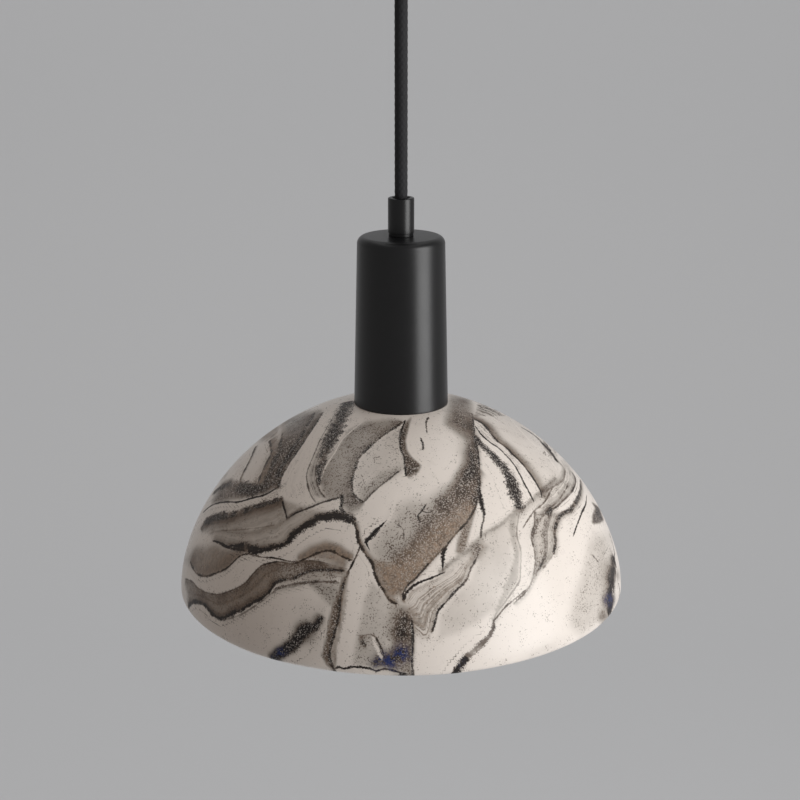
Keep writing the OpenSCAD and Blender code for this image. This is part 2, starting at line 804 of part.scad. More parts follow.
module holder_terminal_screws() {
    color("goldenrod") for (turn = [0, 180]) rotate([0, 0, turn])
        translate([0, terminal_y, holder_z + recess_floor + terminal_t + clamp_gap])
            pan_screw(
                terminal_screw_d, terminal_t + clamp_gap + 4.5, terminal_head[0], terminal_head[1]
            );
}

// Shade and the ring that holds it

module shade() {
    lip_start = 180;
    lip_end = 350;
    outline = concat(
        dome_side(rim_r, apex, shade_h - lip_r),
        [[hole_d / 2, shade_h], [hole_d / 2, underside]],
        reversed(dome_side(inner_rim_r, inner_apex, underside - lip_r)),
        arc(rim_r - lip_r, lip_r, lip_r, lip_start, lip_end, 10)
    );
    color([0.83, 0.79, 0.73]) translate([0, 0, seat - shade_h]) rotate_extrude() polygon(outline);
}

module shade_gasket() {
    color([0.15, 0.15, 0.15]) translate([0, 0, ring_z])
        washer(skirt_d / 2 + play, ring_d / 2 - 1, gasket_t);
}

module shade_ring() {
    bore = skirt_d / 2 + play;
    hub = ring_hub_d / 2;
    color([0.07, 0.07, 0.07]) translate([0, 0, ring_z]) {
        rotate_extrude() polygon([
            [bore, 0], [ring_d / 2 - 0.5, 0], [ring_d / 2, -0.5], [ring_d / 2, -ring_flange + 0.8],
            [ring_d / 2 - 0.8, -ring_flange], [hub, -ring_flange], [hub, -ring_h + 0.8],
            [hub - 0.8, -ring_h], [bore + 0.4, -ring_h], [bore, -ring_h + 0.4]
        ]);
        for (k = [0:ring_ribs - 1]) rotate([0, 0, 360 * k / ring_ribs])
            translate([hub - 0.1, 0, -ring_h + 1.2]) cylinder(r = 0.9, h = ring_h - ring_flange - 0.7);
    }
}

// Bulb

// Outline of the glass from the globe's lowest point to the top of its neck, drawn in by inset
function glass_side(inset) = concat(
    arc(0, globe_z, globe_r - inset, -90, neck_angle, 22),
    arc(neck_r + neck_curve, globe_z + neck_rise, neck_curve + inset, 180 + neck_angle, 180, 10),
    [[neck_r - inset, base_z - 0.3]]
);

module bulb_glass() {
    stub_r = base_d / 2 - 0.5 - fit;
    color([0.95, 0.95, 0.93]) translate([0, 0, holder_z]) rotate_extrude() polygon(concat(
        glass_side(0),
        [[stub_r, base_z - 0.3], [stub_r, base_z + 6], [stub_r - glass_t, base_z + 6]],
        [[stub_r - glass_t, base_z - 0.3 - glass_t]],
        reversed(glass_side(glass_t))
    ));
}

module bulb_screw_base() {
    r = base_d / 2;
    sheet = 0.4;
    color("lightgray") translate([0, 0, holder_z + base_z]) rotate_extrude() polygon([
        [r - sheet, 0], [r, 0], [r, base_l - 1], [r - 1, base_l], [r - 1 - sheet, base_l],
        [r - sheet, base_l - 1]
    ]);
}

insulator_z = base_z + base_l;
eyelet_r = 4.5;

module bulb_base_insulator() {
    top = eyelet_top - 1;
    color([0.1, 0.1, 0.1]) translate([0, 0, holder_z]) rotate_extrude() polygon([
        [0, insulator_z - 1], [base_d / 2 - 1.6, insulator_z - 1], [base_d / 2 - 1.6, insulator_z + 0.2],
        [eyelet_r + 1, top], [0, top]
    ]);
}

module bulb_contact() {
    color("silver") translate([0, 0, holder_z + eyelet_top - 1]) rotate_extrude()
        polygon([[0, 0], [eyelet_r, 0], [eyelet_r, 0.5], [eyelet_r - 1, 1], [0, 1]]);
}

mounting_strap();
earth_screw();
terminal_block();
terminal_tubes();
terminal_clamp_screws();
block_screws();
canopy();
canopy_screws();
canopy_grip();
canopy_grip_clamp_screw();
canopy_grip_washer();
canopy_grip_nut();
cord_head();
canopy_live_wire();
canopy_neutral_wire();
canopy_earth_wire();
cord();
cup_grip();
cup_grip_clamp_screw();
socket_cup();
cup_washer();
cup_nut();
holder_carrier();
carrier_screws();
carrier_earth_screw();
cord_tail();
live_wire();
neutral_wire();
earth_wire();
stripped_ends();
lampholder_body();
screw_shell();
centre_contact();
live_terminal();
neutral_terminal();
holder_terminal_screws();
shade();
shade_gasket();
shade_ring();
bulb_glass();
bulb_screw_base();
bulb_base_insulator();
bulb_contact();
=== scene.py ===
# A ceramic dome pendant light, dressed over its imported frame. Lengths are in metres.
import math
from typing import NamedTuple

import bmesh
import bpy
import numpy as np
from mathutils import Matrix, Vector, noise


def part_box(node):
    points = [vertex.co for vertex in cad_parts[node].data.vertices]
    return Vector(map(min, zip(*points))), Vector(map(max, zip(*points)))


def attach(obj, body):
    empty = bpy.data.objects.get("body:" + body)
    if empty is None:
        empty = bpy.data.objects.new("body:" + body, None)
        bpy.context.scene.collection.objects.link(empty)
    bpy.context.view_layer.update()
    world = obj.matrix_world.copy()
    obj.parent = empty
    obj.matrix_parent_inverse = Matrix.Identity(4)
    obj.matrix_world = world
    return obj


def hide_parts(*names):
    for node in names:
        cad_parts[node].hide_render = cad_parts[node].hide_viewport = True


bl_info = {
    "name": "Ceramic dome pendant light",
    "version": (1, 0, 0),
    "blender": (4, 5, 0),
    "location": "3D View > Sidebar > Pendant",
    "description": "Dresses the frame of a pendant light with a marbled ceramic shade",
    "category": "Object",
}

MM = 0.001

# The frame, and the levels and radii that the new pieces take from it
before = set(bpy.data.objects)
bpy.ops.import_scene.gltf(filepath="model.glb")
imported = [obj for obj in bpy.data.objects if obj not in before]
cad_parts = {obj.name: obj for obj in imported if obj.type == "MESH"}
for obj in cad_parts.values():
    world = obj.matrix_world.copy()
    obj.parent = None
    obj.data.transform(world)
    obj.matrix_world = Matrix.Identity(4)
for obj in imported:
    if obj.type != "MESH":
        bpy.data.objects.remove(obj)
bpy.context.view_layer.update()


def top(node):
    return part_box(node)[1].z


def foot(node):
    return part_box(node)[0].z


def radius(node):
    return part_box(node)[1].y


RIM_R = radius("shade")
RIM_Z = foot("shade")
SEAT_Z = top("shade")
CUP_TOP = top("socket_cup")
CUP_MOUTH = top("cup_grip")
CANOPY_MOUTH = foot("canopy_grip")
CANOPY_FLOOR = foot("canopy")
RING_Z = top("shade_ring")
CORD_R = radius("cord")

# A grip stem's room in its hole and its thread's pitch
STEM_GAP = 0.3 * MM
STEM_PITCH = 1.0 * MM
# The pitch of the bulb's thread, 7 turns to the inch
BULB_PITCH = 3.629 * MM
# Radius of the hole in the ring and the gasket, round the lampholder's skirt
SKIRT_BORE = 19.6 * MM

# The photograph's width and height in pixels
PICTURE = 800


# Sizes and colours that a user would change


def length(label, about, value):
    return bpy.props.FloatProperty(
        name=label, description=about, default=value, unit="LENGTH", precision=4
    )


def colour(label, about, value):
    return bpy.props.FloatVectorProperty(
        name=label, description=about, default=value, size=3, min=0, max=1, subtype="COLOR"
    )


def number(label, about, value):
    return bpy.props.FloatProperty(name=label, description=about, default=value)


class PendantSizes(bpy.types.PropertyGroup):
    shade_wall: length("Shade wall", "Thickness of the ceramic", 4.5 * MM)
    curve_across: number("Curve across", "Exponent of the dome's outline across", 1.96)
    curve_up: number("Curve up", "Exponent of the dome's outline upwards", 1.74)
    seat_r: length("Seat radius", "Radius of the flat seat under the cup", 22.6 * MM)
    hole_r: length("Hole radius", "Radius of the hole through the seat", 20.5 * MM)
    under_r: length("Underside radius", "Radius of the flat round the ring", 29.5 * MM)
    rim_wave: length("Rim wave", "How far the hand-cut rim rises and falls", 0.35 * MM)
    cup_top_r: length("Cup top radius", "Radius of the cup at its top", 20.2 * MM)
    cup_wall: length("Cup wall", "Thickness of the cup's metal", 1.0 * MM)
    cup_round: length("Cup rounding", "Radius of the cup's upper edge", 3.5 * MM)
    grip_r: length("Grip radius", "Radius of a cord grip", 6 * MM)
    grip_h: length("Grip height", "Height of a cord grip's barrel", 17.5 * MM)
    stem_r: length("Stem radius", "Radius of a grip's threaded stem", 4.85 * MM)
    stem_l: length("Stem length", "Length of a grip's threaded stem", 10 * MM)
    bore_r: length("Bore radius", "Radius of a grip's bore", 3.3 * MM)
    mouth_r: length("Mouth radius", "Radius of a grip's mouth", 4 * MM)
    mouth_in: length("Mouth depth", "How far inside a mouth the free cord ends", 2 * MM)
    lean_gap: length("Lean gap", "Room between the free and the clamped cord", 0.9 * MM)
    braid_pitch: length("Braid pitch", "Length of one turn of a braid strand", 26 * MM)
    braid_depth: length("Braid depth", "Depth of the grooves between strands", 0.16 * MM)
    canopy_wall: length("Canopy wall", "Thickness of the canopy's metal", 1.2 * MM)
    canopy_round: length("Canopy rounding", "Radius of the canopy's lower edge", 4 * MM)
    ring_hub_r: length("Ring hub radius", "Radius of the ring's gripping hub", 23.5 * MM)
    ring_flange: length("Ring flange", "Thickness of the ring's flange", 3 * MM)
    neck_r: length("Neck radius", "Radius of the bulb's neck", 14 * MM)
    neck_curve: length("Neck curve", "Radius of the hollow from neck to globe", 26 * MM)


class PendantColours(bpy.types.PropertyGroup):
    cream: colour("Cream clay", "The pale body of the clay", (0.785, 0.73, 0.675))
    grey: colour("Grey clay", "The lighter stain", (0.43, 0.395, 0.355))
    umber: colour("Umber clay", "The darker stain", (0.14, 0.11, 0.09))
    ink: colour("Black clay", "The black stain", (0.014, 0.01, 0.009))
    brown: colour("Brown clay", "The warm granular stain", (0.25, 0.18, 0.128))
    cobalt: colour("Cobalt", "The blue where the black stain bled", (0.02, 0.036, 0.14))
    metal: colour("Black metal", "The cup, the grips and the canopy", (0.004, 0.004, 0.0045))
    cord: colour("Cord", "The braided fabric", (0.009, 0.009, 0.01))
    opal: colour("Opal glass", "The bulb", (0.86, 0.85, 0.81))


class PendantStage(bpy.types.PropertyGroup):
    focal: number("Focal length", "In pixels of the 800 pixel photograph", 1596.0)
    tilt: bpy.props.FloatProperty(
        name="Tilt",
        description="How far the camera looks down",
        default=math.radians(16.37),
        subtype="ANGLE",
    )
    camera_x: length("Camera X", "Camera's place across", -0.5 * MM)
    camera_y: length("Camera Y", "Camera's place in depth", -719.6 * MM)
    camera_z: length("Camera Z", "Camera's height above the rim", 302.7 * MM)
    key_power: number("Key light", "Power of the large soft light on the right", 15.3)
    floor_power: number("Floor light", "Power of the light on the floor and the backdrop", 32.0)
    fill: number("Fill", "Strength of the light from all round", 0.165)
    fill_tint: colour("Fill colour", "Colour of the light from all round", (1.0, 0.82, 0.7))
    surround: colour("Surround", "The plain grey seen beyond the backdrop", (0.31, 0.31, 0.31))
    floor_look: colour("Floor look", "The plain tone that the floor partly shows", (0.42, 0.42, 0.425))
    floor_share: number("Floor share", "How much of its look is the plain tone", 0.6)
    backdrop: colour("Backdrop", "Floor and backdrop", (0.77, 0.805, 0.84))


# Shader maths


class Value:
    """A shader socket on which Python's operators make Math nodes."""

    def __init__(self, paint, socket):
        self.paint = paint
        self.socket = socket

    def math(self, operation, *others):
        inputs = dict(enumerate((self, *others)))
        return self.paint.node("ShaderNodeMath", {"operation": operation}, inputs)

    def __add__(self, other):
        return self.math("ADD", other)

    __radd__ = __add__

    def __mul__(self, other):
        return self.math("MULTIPLY", other)

    def __sub__(self, other):
        return self.math("SUBTRACT", other)

    def __rsub__(self, other):
        return self.paint.node("ShaderNodeMath", {"operation": "SUBTRACT"}, {0: other, 1: self})

    def abs(self):
        return self.math("ABSOLUTE")

    def fraction(self):
        return self.math("FRACT")

    def sine(self):
        return self.math("SINE")

    def larger(self, other):
        return self.math("MAXIMUM", other)

    def smaller(self, other):
        return self.math("MINIMUM", other)

    def step(self, start, end):
        """0 before start and 1 past end, and smooth between them."""
        return self.paint.node(
            "ShaderNodeMapRange",
            {"interpolation_type": "SMOOTHSTEP"},
            {"Value": self, "From Min": start, "From Max": end},
        )

    def stretch(self, low, high):
        """Low to high spread from 0 to 1, and cut off outside."""
        return self.paint.node(
            "ShaderNodeMapRange", {}, {"Value": self, "From Min": low, "From Max": high}
        )


class Paint:
    """One material under construction."""

    def __init__(self, name):
        self.material = bpy.data.materials.new(name)
        self.material.use_nodes = True
        self.tree = self.material.node_tree
        self.shader = self.tree.nodes["Principled BSDF"]

    def node(self, kind, settings, inputs, output=0):
        """Adds a node, with its settings first, then the values or links of its sockets."""
        made = self.tree.nodes.new(kind)
        for key, value in settings.items():
            if key == "stops":
                ramp = made.color_ramp
                while len(ramp.elements) < len(value):
                    ramp.elements.new(1)
                for element, (place, shade) in zip(ramp.elements, value):
                    element.position = place
                    element.color = (*shade, 1)
            else:
                setattr(made, key, value)
        for key, value in inputs.items():
            self.join(made.inputs[key], value)
        return Value(self, made.outputs[output])

    def join(self, socket, value):
        if isinstance(value, Value):
            self.tree.links.new(value.socket, socket)
        elif socket.type == "RGBA" and len(value) == 3:
            socket.default_value = (*value, 1)
        else:
            socket.default_value = value

    def place(self, scale=(1, 1, 1)):
        """Object coordinates, stretched by scale."""
        here = self.node("ShaderNodeTexCoord", {}, {}, "Object")
        if scale == (1, 1, 1):
            return here
        return self.node("ShaderNodeMapping", {}, {"Vector": here, "Scale": scale})

    def uv(self):
        return self.node("ShaderNodeTexCoord", {}, {}, "UV")

    def noise(self, where, scale, detail, roughness=0.6):
        inputs = {"Vector": where, "Scale": scale, "Detail": detail, "Roughness": roughness}
        return self.node("ShaderNodeTexNoise", {}, inputs)

    def grains(self, where, scale, detail, reach, roughness=0.6):
        """Noise whose range, which reaches this far from a half, is spread from 0 to 1."""
        return self.noise(where, scale, detail, roughness).stretch(0.5 - reach, 0.5 + reach)

    def line_grains(self, where, scale, detail, reach):
        """The same along one number."""
        inputs = {"W": where, "Scale": scale, "Detail": detail, "Roughness": 0.6}
        made = self.node("ShaderNodeTexNoise", {"noise_dimensions": "1D"}, inputs)
        return made.stretch(0.5 - reach, 0.5 + reach)

    def attribute(self, name, output="Fac"):
        return self.node("ShaderNodeAttribute", {"attribute_name": name}, {}, output)

    def parts(self, vector):
        split = self.node("ShaderNodeSeparateXYZ", {}, {0: vector})
        outputs = split.socket.node.outputs
        return [Value(self, outputs[k]) for k in range(3)]

    def mix(self, share, first, second):
        inputs = {0: share, 6: first, 7: second}
        return self.node("ShaderNodeMix", {"data_type": "RGBA"}, inputs, 2)

    def bump(self, height, distance, strength):
        inputs = {"Height": height, "Distance": distance, "Strength": strength}
        return self.node("ShaderNodeBump", {}, inputs)

    def finish(self, **sockets):
        """Sets the shader's sockets, whose names have underscores for spaces."""
        for key, value in sockets.items():
            self.join(self.shader.inputs[key.replace("_", " ")], value)
        return self.material


def sizes():
    return bpy.context.scene.pendant_sizes


def colours():
    return bpy.context.scene.pendant_colours


def staging():
    return bpy.context.scene.pendant_stage


def tint(shade, share):
    """A colour made lighter or darker."""
    return tuple(min(1, channel * share) for channel in shade)


# Materials


def once(make):
    """A material that is made at its first use and shared after that."""
    made = {}

    def shared():
        if "material" not in made:
            made["material"] = make()
        return made["material"]

    return shared


@once
def black_metal():
    """Satin powder coat: fine orange peel, cloudy gloss and faint dust."""
    paint = Paint("black_powder_coat")
    where = paint.place()
    peel = paint.noise(where, 900, 2)
    cloud = paint.noise(where, 38, 3)
    dust = paint.noise(where, 2600, 1).step(0.74, 0.82)
    base = colours().metal
    shade = paint.mix(cloud, tint(base, 0.8), tint(base, 1.35))
    shade = paint.mix(dust * 0.35, shade, (0.06, 0.06, 0.06))
    return paint.finish(
        Base_Color=shade,
        Roughness=cloud * 0.1 + peel * 0.06 + 0.25,
        Specular_IOR_Level=0.46,
        Normal=paint.bump(peel, 0.02 * MM, 0.5),
    )


def metal(name, pale, dark, rough, streak=(1, 1, 1)):
    """Plated or drawn metal with fine streaks, dull patches and tarnish in its grain."""
    paint = Paint(name)
    where = paint.place()
    grain = paint.noise(paint.place(streak), 1500, 3)
    cloud = paint.noise(where, 120, 4)
    pits = paint.noise(where, 2200, 2).step(0.66, 0.78)
    shade = paint.mix(cloud.step(0.35, 0.75) * 0.35, pale, dark)
    shade = paint.mix(pits * 0.4, shade, dark)
    return paint.finish(
        Base_Color=shade,
        Metallic=1.0,
        Roughness=grain * 0.16 + cloud * 0.14 + rough - 0.15,
        Normal=paint.bump(grain - pits * 0.5, 0.015 * MM, 0.6),
    )


@once
def zinc():
    return metal("zinc_plate", (0.62, 0.63, 0.65), (0.36, 0.38, 0.42), 0.38, (1, 6, 1))


@once
def brass():
    return metal("brass", (0.78, 0.57, 0.27), (0.45, 0.27, 0.1), 0.32, (5, 1, 1))


@once
def nickel():
    return metal("nickel_plate", (0.7, 0.68, 0.64), (0.42, 0.4, 0.37), 0.3, (1, 1, 7))


@once
def solder():
    return metal("solder", (0.55, 0.56, 0.58), (0.3, 0.3, 0.32), 0.45)


@once
def copper():
    return metal("copper_strands", (0.83, 0.42, 0.27), (0.4, 0.16, 0.09), 0.35, (2, 2, 2))


@once
def green_lacquer():
    paint = Paint("green_lacquer")
    cloud = paint.noise(paint.place(), 300, 4)
    return paint.finish(
        Base_Color=paint.mix(cloud, (0.012, 0.11, 0.045), (0.03, 0.21, 0.09)),
        Metallic=0.7,
        Roughness=cloud * 0.2 + 0.3,
        Normal=paint.bump(cloud, 0.02 * MM, 0.4),
    )


def plastic(name, base, rough, speck, depth=0.015):
    """Moulded plastic with a fine spark texture and paler specks of filler."""
    paint = Paint(name)
    where = paint.place()
    spark = paint.noise(where, 2400, 2)
    cloud = paint.noise(where, 70, 3)
    filler = paint.noise(where, 3300, 1).step(0.7, 0.8)
    shade = paint.mix(cloud, tint(base, 0.85), tint(base, 1.12))
    shade = paint.mix(filler * speck, shade, tint(base, 2.2))
    return paint.finish(
        Base_Color=shade,
        Roughness=spark * 0.16 + cloud * 0.08 + rough - 0.12,
        Normal=paint.bump(spark, depth * MM, 0.6),
    )


@once
def phenolic():
    return plastic("phenolic", (0.018, 0.0175, 0.018), 0.34, 0.5)


@once
def nylon():
    return plastic("nylon", (0.8, 0.79, 0.74), 0.5, 0.0, 0.01)


@once
def silicone():
    return plastic("silicone", (0.035, 0.035, 0.036), 0.62, 0.25, 0.03)


@once
def black_glass():
    return plastic("black_glass", (0.02, 0.02, 0.028), 0.16, 0.0, 0.005)


@once
def brown_sleeve():
    return plastic("brown_sleeve", (0.16, 0.065, 0.03), 0.42, 0.1)


@once
def pale_sleeve():
    return plastic("pale_sleeve", (0.72, 0.72, 0.69), 0.42, 0.0)


@once
def striped_sleeve():
    """Green insulation with a yellow stripe wound along it."""
    paint = Paint("striped_sleeve")
    across, along, _ = paint.parts(paint.uv())
    stripe = ((across + along * 40).fraction() - 0.5).abs().step(0.24, 0.26)
    cloud = paint.noise(paint.place(), 500, 3)
    shade = paint.mix(stripe, (0.06, 0.25, 0.05), (0.72, 0.6, 0.05))
    return paint.finish(
        Base_Color=paint.mix(cloud * 0.3, shade, (0.08, 0.14, 0.04)),
        Roughness=cloud * 0.14 + 0.34,
    )


@once
def braid():
    """Woven rayon: each strand's fine yarns, with painted shade in the dark grooves and a painted sheen on
    each crown and along each yarn.
    """
    paint = Paint("cord_braid")
    height = paint.attribute("braid_height")
    yarn = paint.attribute("braid_yarn")
    lines = (yarn * math.tau * 5).sine() * 0.5 + 0.5
    fuzz = paint.noise(paint.place(), 4200, 2)
    base = colours().cord
    # Painted shade and sheen: the colour darkens the grooves between strands and lightens each strand's crown
    shade = paint.mix(height, tint(base, 0.3), tint(base, 1.5))
    # The yarn lines are lightened: the weave's texture, and partly a painted sheen along each yarn
    shade = paint.mix(lines * 0.6, shade, tint(base, 4.6))
    shade = paint.mix(fuzz.step(0.6, 0.8) * 0.2, shade, (0.06, 0.06, 0.062))
    return paint.finish(
        Base_Color=shade,
        Roughness=fuzz * 0.2 + 0.62,
        Specular_IOR_Level=0.25,
        Sheen_Weight=0.1,
        Sheen_Roughness=0.5,
        Normal=paint.bump(lines * 0.6 + fuzz * 0.5, 0.03 * MM, 0.8),
    )


@once
def opal():
    """Frosted white glass, cloudy inside."""
    paint = Paint("opal_glass")
    where = paint.place()
    cloud = paint.noise(where, 45, 3)
    seeds = paint.noise(where, 1300, 1).step(0.72, 0.8)
    base = colours().opal
    shade = paint.mix(cloud, tint(base, 0.94), tint(base, 1.05))
    return paint.finish(
        Base_Color=paint.mix(seeds * 0.1, shade, tint(base, 0.8)),
        Roughness=cloud * 0.1 + 0.2,
        Subsurface_Weight=0.25,
        Subsurface_Radius=(0.006, 0.006, 0.005),
        Subsurface_Scale=1.0,
        Coat_Weight=0.3,
        Coat_Roughness=0.12,
    )


@once
def stoneware():
    """Glazed clay laid up from cream, grey, umber and black clays; the figure is on the mesh."""
    paint = Paint("marbled_stoneware")
    where = paint.place()
    hue = colours()
    tone, grain, warm = paint.parts(paint.attribute("clay", "Vector"))
    banding, blue, clean = paint.parts(paint.attribute("clay_more", "Vector"))
    flow = paint.attribute("flow")
    grain = grain * (1 - clean)

    # Grain of the stained clays, from coarse to fine
    cloud = paint.grains(where, 60, 4, 0.15)
    middle = paint.grains(where, 190, 2, 0.17)
    coarse = paint.grains(where, 620, 3, 0.15, 0.7)
    fine = paint.grains(where, 1500, 1, 0.18)
    spark = paint.grains(where, 2600, 2, 0.09)

    # Bands between a panel's two sides: soft washes, and hairlines where the noise crosses a half
    wander = flow + (cloud - 0.5) * 0.35 + (middle - 0.5) * 0.14
    washes = paint.line_grains(wander, 0.8, 2, 0.2)
    crossing = paint.line_grains(wander + 50, 1.3, 3, 0.2) - 0.5
    hairs = (crossing.abs() + (coarse - 0.5) * 0.12).step(0.15, 0.05) * (middle * 0.7 + 0.45)
    density = tone * (cloud * 0.4 + 0.85) + (washes - 0.42).larger(0) * banding * 0.9

    # Dark grains crowd where the clay is dense
    fleck_at = 1 - grain * (density * 0.86 + 0.01)
    flecks = (fine + (middle - 0.5) * 0.35).stretch(fleck_at, fleck_at + 0.07)
    blot_at = 1.03 - grain * (density * 0.66 + 0.01)
    blots = (coarse + (fine - 0.5) * 0.3).stretch(blot_at, blot_at + 0.1)
    wash = density * (1.05 - grain * 0.25)
    depth = density * 0.55 + 0.36
    soft = wash.larger(flecks * depth).larger(blots * depth).larger(hairs * banding)

    # Veins with ragged edges, from sets of signed distances; a pale one lifts the stain
    ragged = (coarse - 0.5) * 0.6 + (fine - 0.5) * 0.95 + (spark - 0.5) * 0.5
    breath = cloud * 0.45 + middle * 0.5 + 0.5
    vein, pale = None, None
    for pair in "abc":
        far = paint.parts(paint.attribute("veins_" + pair, "Vector"))
        force = paint.parts(paint.attribute("force_" + pair, "Vector"))
        for away, strength in zip(far, force):
            cover = (away.abs() + ragged + (0.45 - middle) * 0.6).step(1.4, 0.7) * strength
            vein = cover if vein is None else vein.larger(cover)
            pale = cover if pale is None else pale.smaller(cover)
    vein = (vein * breath).smaller(1.0)
    soft = soft * (1 + pale)
    soft = soft.larger(vein)

    shade = paint.node(
        "ShaderNodeValToRGB",
        {
            "stops": (
                (0.0, tint(hue.cream, 1.05)),
                (0.06, hue.cream),
                (0.3, hue.grey),
                (0.55, hue.umber),
                (0.8, hue.ink),
            )
        },
        {0: soft},
    )
    brown = paint.mix(coarse, tint(hue.brown, 0.6), tint(hue.brown, 1.5))
    browned = warm * soft.step(0.06, 0.3) * (1 - soft.step(0.62, 0.9) * 0.8)
    shade = paint.mix(browned * 0.85, shade, brown)

    # Pale grains in the dark, stray specks on the pale, and cobalt where it bled
    chips = fine.stretch(0.38, 0.24) * spark.stretch(0.2, 0.45)
    chips = chips * grain.step(0.5, 1.0) * soft.step(0.2, 0.42)
    shade = paint.mix(chips * 0.82, shade, tint(hue.cream, 0.75))
    stray = spark.stretch(0.96, 1.0) * middle.stretch(0.65, 0.95) * (1 - clean) * 0.2
    shade = paint.mix(stray, shade, hue.umber)
    bled = blue * coarse.stretch(0.3, 0.6) * soft.step(0.1, 0.4)
    shade = paint.mix(bled, shade, hue.cobalt)

    height = (1 - vein * 0.6) - flecks * 0.25 + (cloud - 0.5) * 0.4
    wear = soft.step(0.3, 0.9)
    return paint.finish(
        Base_Color=shade,
        Roughness=wear * 0.16 + cloud * 0.08 + stray * 0.1 + 0.26,
        Specular_IOR_Level=0.26,
        Coat_Weight=0.07 - wear * 0.05,
        Coat_Roughness=0.18,
        Normal=paint.bump(height, 0.1 * MM, 0.5),
    )


def plain_look(tree, output, kind, tone, share):
    """Camera, glossy and transmission rays see a share of a plain tone; the light stays as it is."""
    nodes, links = tree.nodes, tree.links
    surface = nodes[output].inputs["Surface"]
    lit = surface.links[0].from_socket
    seen = nodes.new(kind)
    seen.inputs["Color"].default_value = (*tone, 1)
    path = nodes.new("ShaderNodeLightPath")
    shows = path.outputs["Is Camera Ray"]
    for ray in ("Is Glossy Ray", "Is Transmission Ray"):
        either = nodes.new("ShaderNodeMath")
        either.operation = "MAXIMUM"
        links.new(shows, either.inputs[0])
        links.new(path.outputs[ray], either.inputs[1])
        shows = either.outputs[0]
    part = nodes.new("ShaderNodeMath")
    part.operation = "MULTIPLY"
    part.inputs[1].default_value = share
    links.new(shows, part.inputs[0])
    mix = nodes.new("ShaderNodeMixShader")
    links.new(part.outputs[0], mix.inputs[0])
    links.new(lit, mix.inputs[1])
    links.new(seen.outputs[0], mix.inputs[2])
    links.new(mix.outputs[0], surface)


def stage_paint():
    paint = Paint("backdrop_paper")
    stage = staging()
    cloud = paint.noise(paint.place(), 1.5, 2)
    shade = paint.mix(cloud, tint(stage.backdrop, 0.99), tint(stage.backdrop, 1.01))
    paper = paint.finish(Base_Color=shade, Roughness=0.9, Specular_IOR_Level=0.1)
    plain_look(paper.node_tree, "Material Output", "ShaderNodeEmission", stage.floor_look, stage.floor_share)
    return paper


# Modelling


def point_mesh(name, start):
    """A new mesh in edit mode that holds one selected vertex at start."""
    bpy.ops.object.select_all(action="DESELECT")
    bpy.ops.mesh.primitive_plane_add(size=MM)
    piece = bpy.context.object
    piece.name = name
    piece.data.name = name
    bpy.ops.object.mode_set(mode="EDIT")
    bpy.ops.mesh.select_all(action="SELECT")
    bpy.ops.mesh.merge(type="CENTER")
    bpy.ops.transform.translate(value=start)
    return piece


def tidy_mesh():
    """Merges doubles and turns the faces outwards, in edit mode."""
    bpy.ops.mesh.select_all(action="SELECT")
    bpy.ops.mesh.remove_doubles(threshold=1e-6)
    bpy.ops.mesh.normals_make_consistent(inside=False)


def smooth(piece, angle):
    bpy.ops.object.select_all(action="DESELECT")
    piece.select_set(True)
    bpy.context.view_layer.objects.active = piece
    bpy.ops.object.shade_smooth_by_angle(angle=math.radians(angle))


def dress(piece, material, body, nodes):
    """Gives a finished piece its material, its body and the nodes that it replaces."""
    piece.data.materials.clear()
    piece.data.materials.append(material)
    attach(piece, body)
    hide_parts(*nodes)


def revolve(name, outline, steps, closed=True):
    """Spins an outline of (radius, height) points round the cord's axis."""
    points = [Vector((r, 0, z)) for r, z in outline]
    if closed:
        points.append(points[0])
    piece = point_mesh(name, points[0])
    for here, there in zip(points, points[1:]):
        bpy.ops.mesh.extrude_vertices_move(TRANSFORM_OT_translate={"value": there - here})
    bpy.ops.mesh.select_all(action="SELECT")
    bpy.ops.mesh.spin(steps=steps, angle=math.tau, center=(0, 0, 0), axis=(0, 0, 1))
    tidy_mesh()
    bpy.ops.object.mode_set(mode="OBJECT")
    return piece


def arc(r, z, size, start, end, steps):
    """Points of an arc round (r, z), from one angle to another in degrees."""
    turns = [math.radians(start + (end - start) * k / steps) for k in range(steps + 1)]
    return [(r + size * math.cos(a), z + size * math.sin(a)) for a in turns]


def spaced(first, last, steps):
    """Points from first to last, without last."""
    return [
        tuple(a + (b - a) * k / steps for a, b in zip(first, last)) for k in range(steps)
    ]


def coordinates(piece):
    flat = np.empty(len(piece.data.vertices) * 3)
    piece.data.vertices.foreach_get("co", flat)
    return flat.reshape(-1, 3)


def move_vertices(piece, points):
    piece.data.vertices.foreach_set("co", np.ascontiguousarray(points).ravel())
    piece.data.update()


def cut_thread(piece, pitch, depth, low, high, least_r, most_r=1.0):
    """Draws the vertices between two heights in along a helix."""
    points = coordinates(piece)
    r = np.hypot(points[:, 0], points[:, 1])
    turn = np.arctan2(points[:, 1], points[:, 0]) / math.tau
    fade = np.clip(np.minimum(points[:, 2] - low, high - points[:, 2]) / pitch * 2, 0, 1)
    wave = 0.5 + 0.5 * np.cos(math.tau * (points[:, 2] / pitch - turn))
    keep = (r > least_r) & (r < most_r)
    drawn = np.where(keep, r - depth * fade * wave, r)
    scale = np.where(r > 0, drawn / np.maximum(r, 1e-9), 1)
    points[:, :2] *= scale[:, None]
    move_vertices(piece, points)


def add_attribute(piece, name, kind, values):
    made = piece.data.attributes.new(name, kind, "POINT")
    key = "value" if kind == "FLOAT" else "vector"
    made.data.foreach_set(key, np.ascontiguousarray(values, dtype=np.float32).ravel())


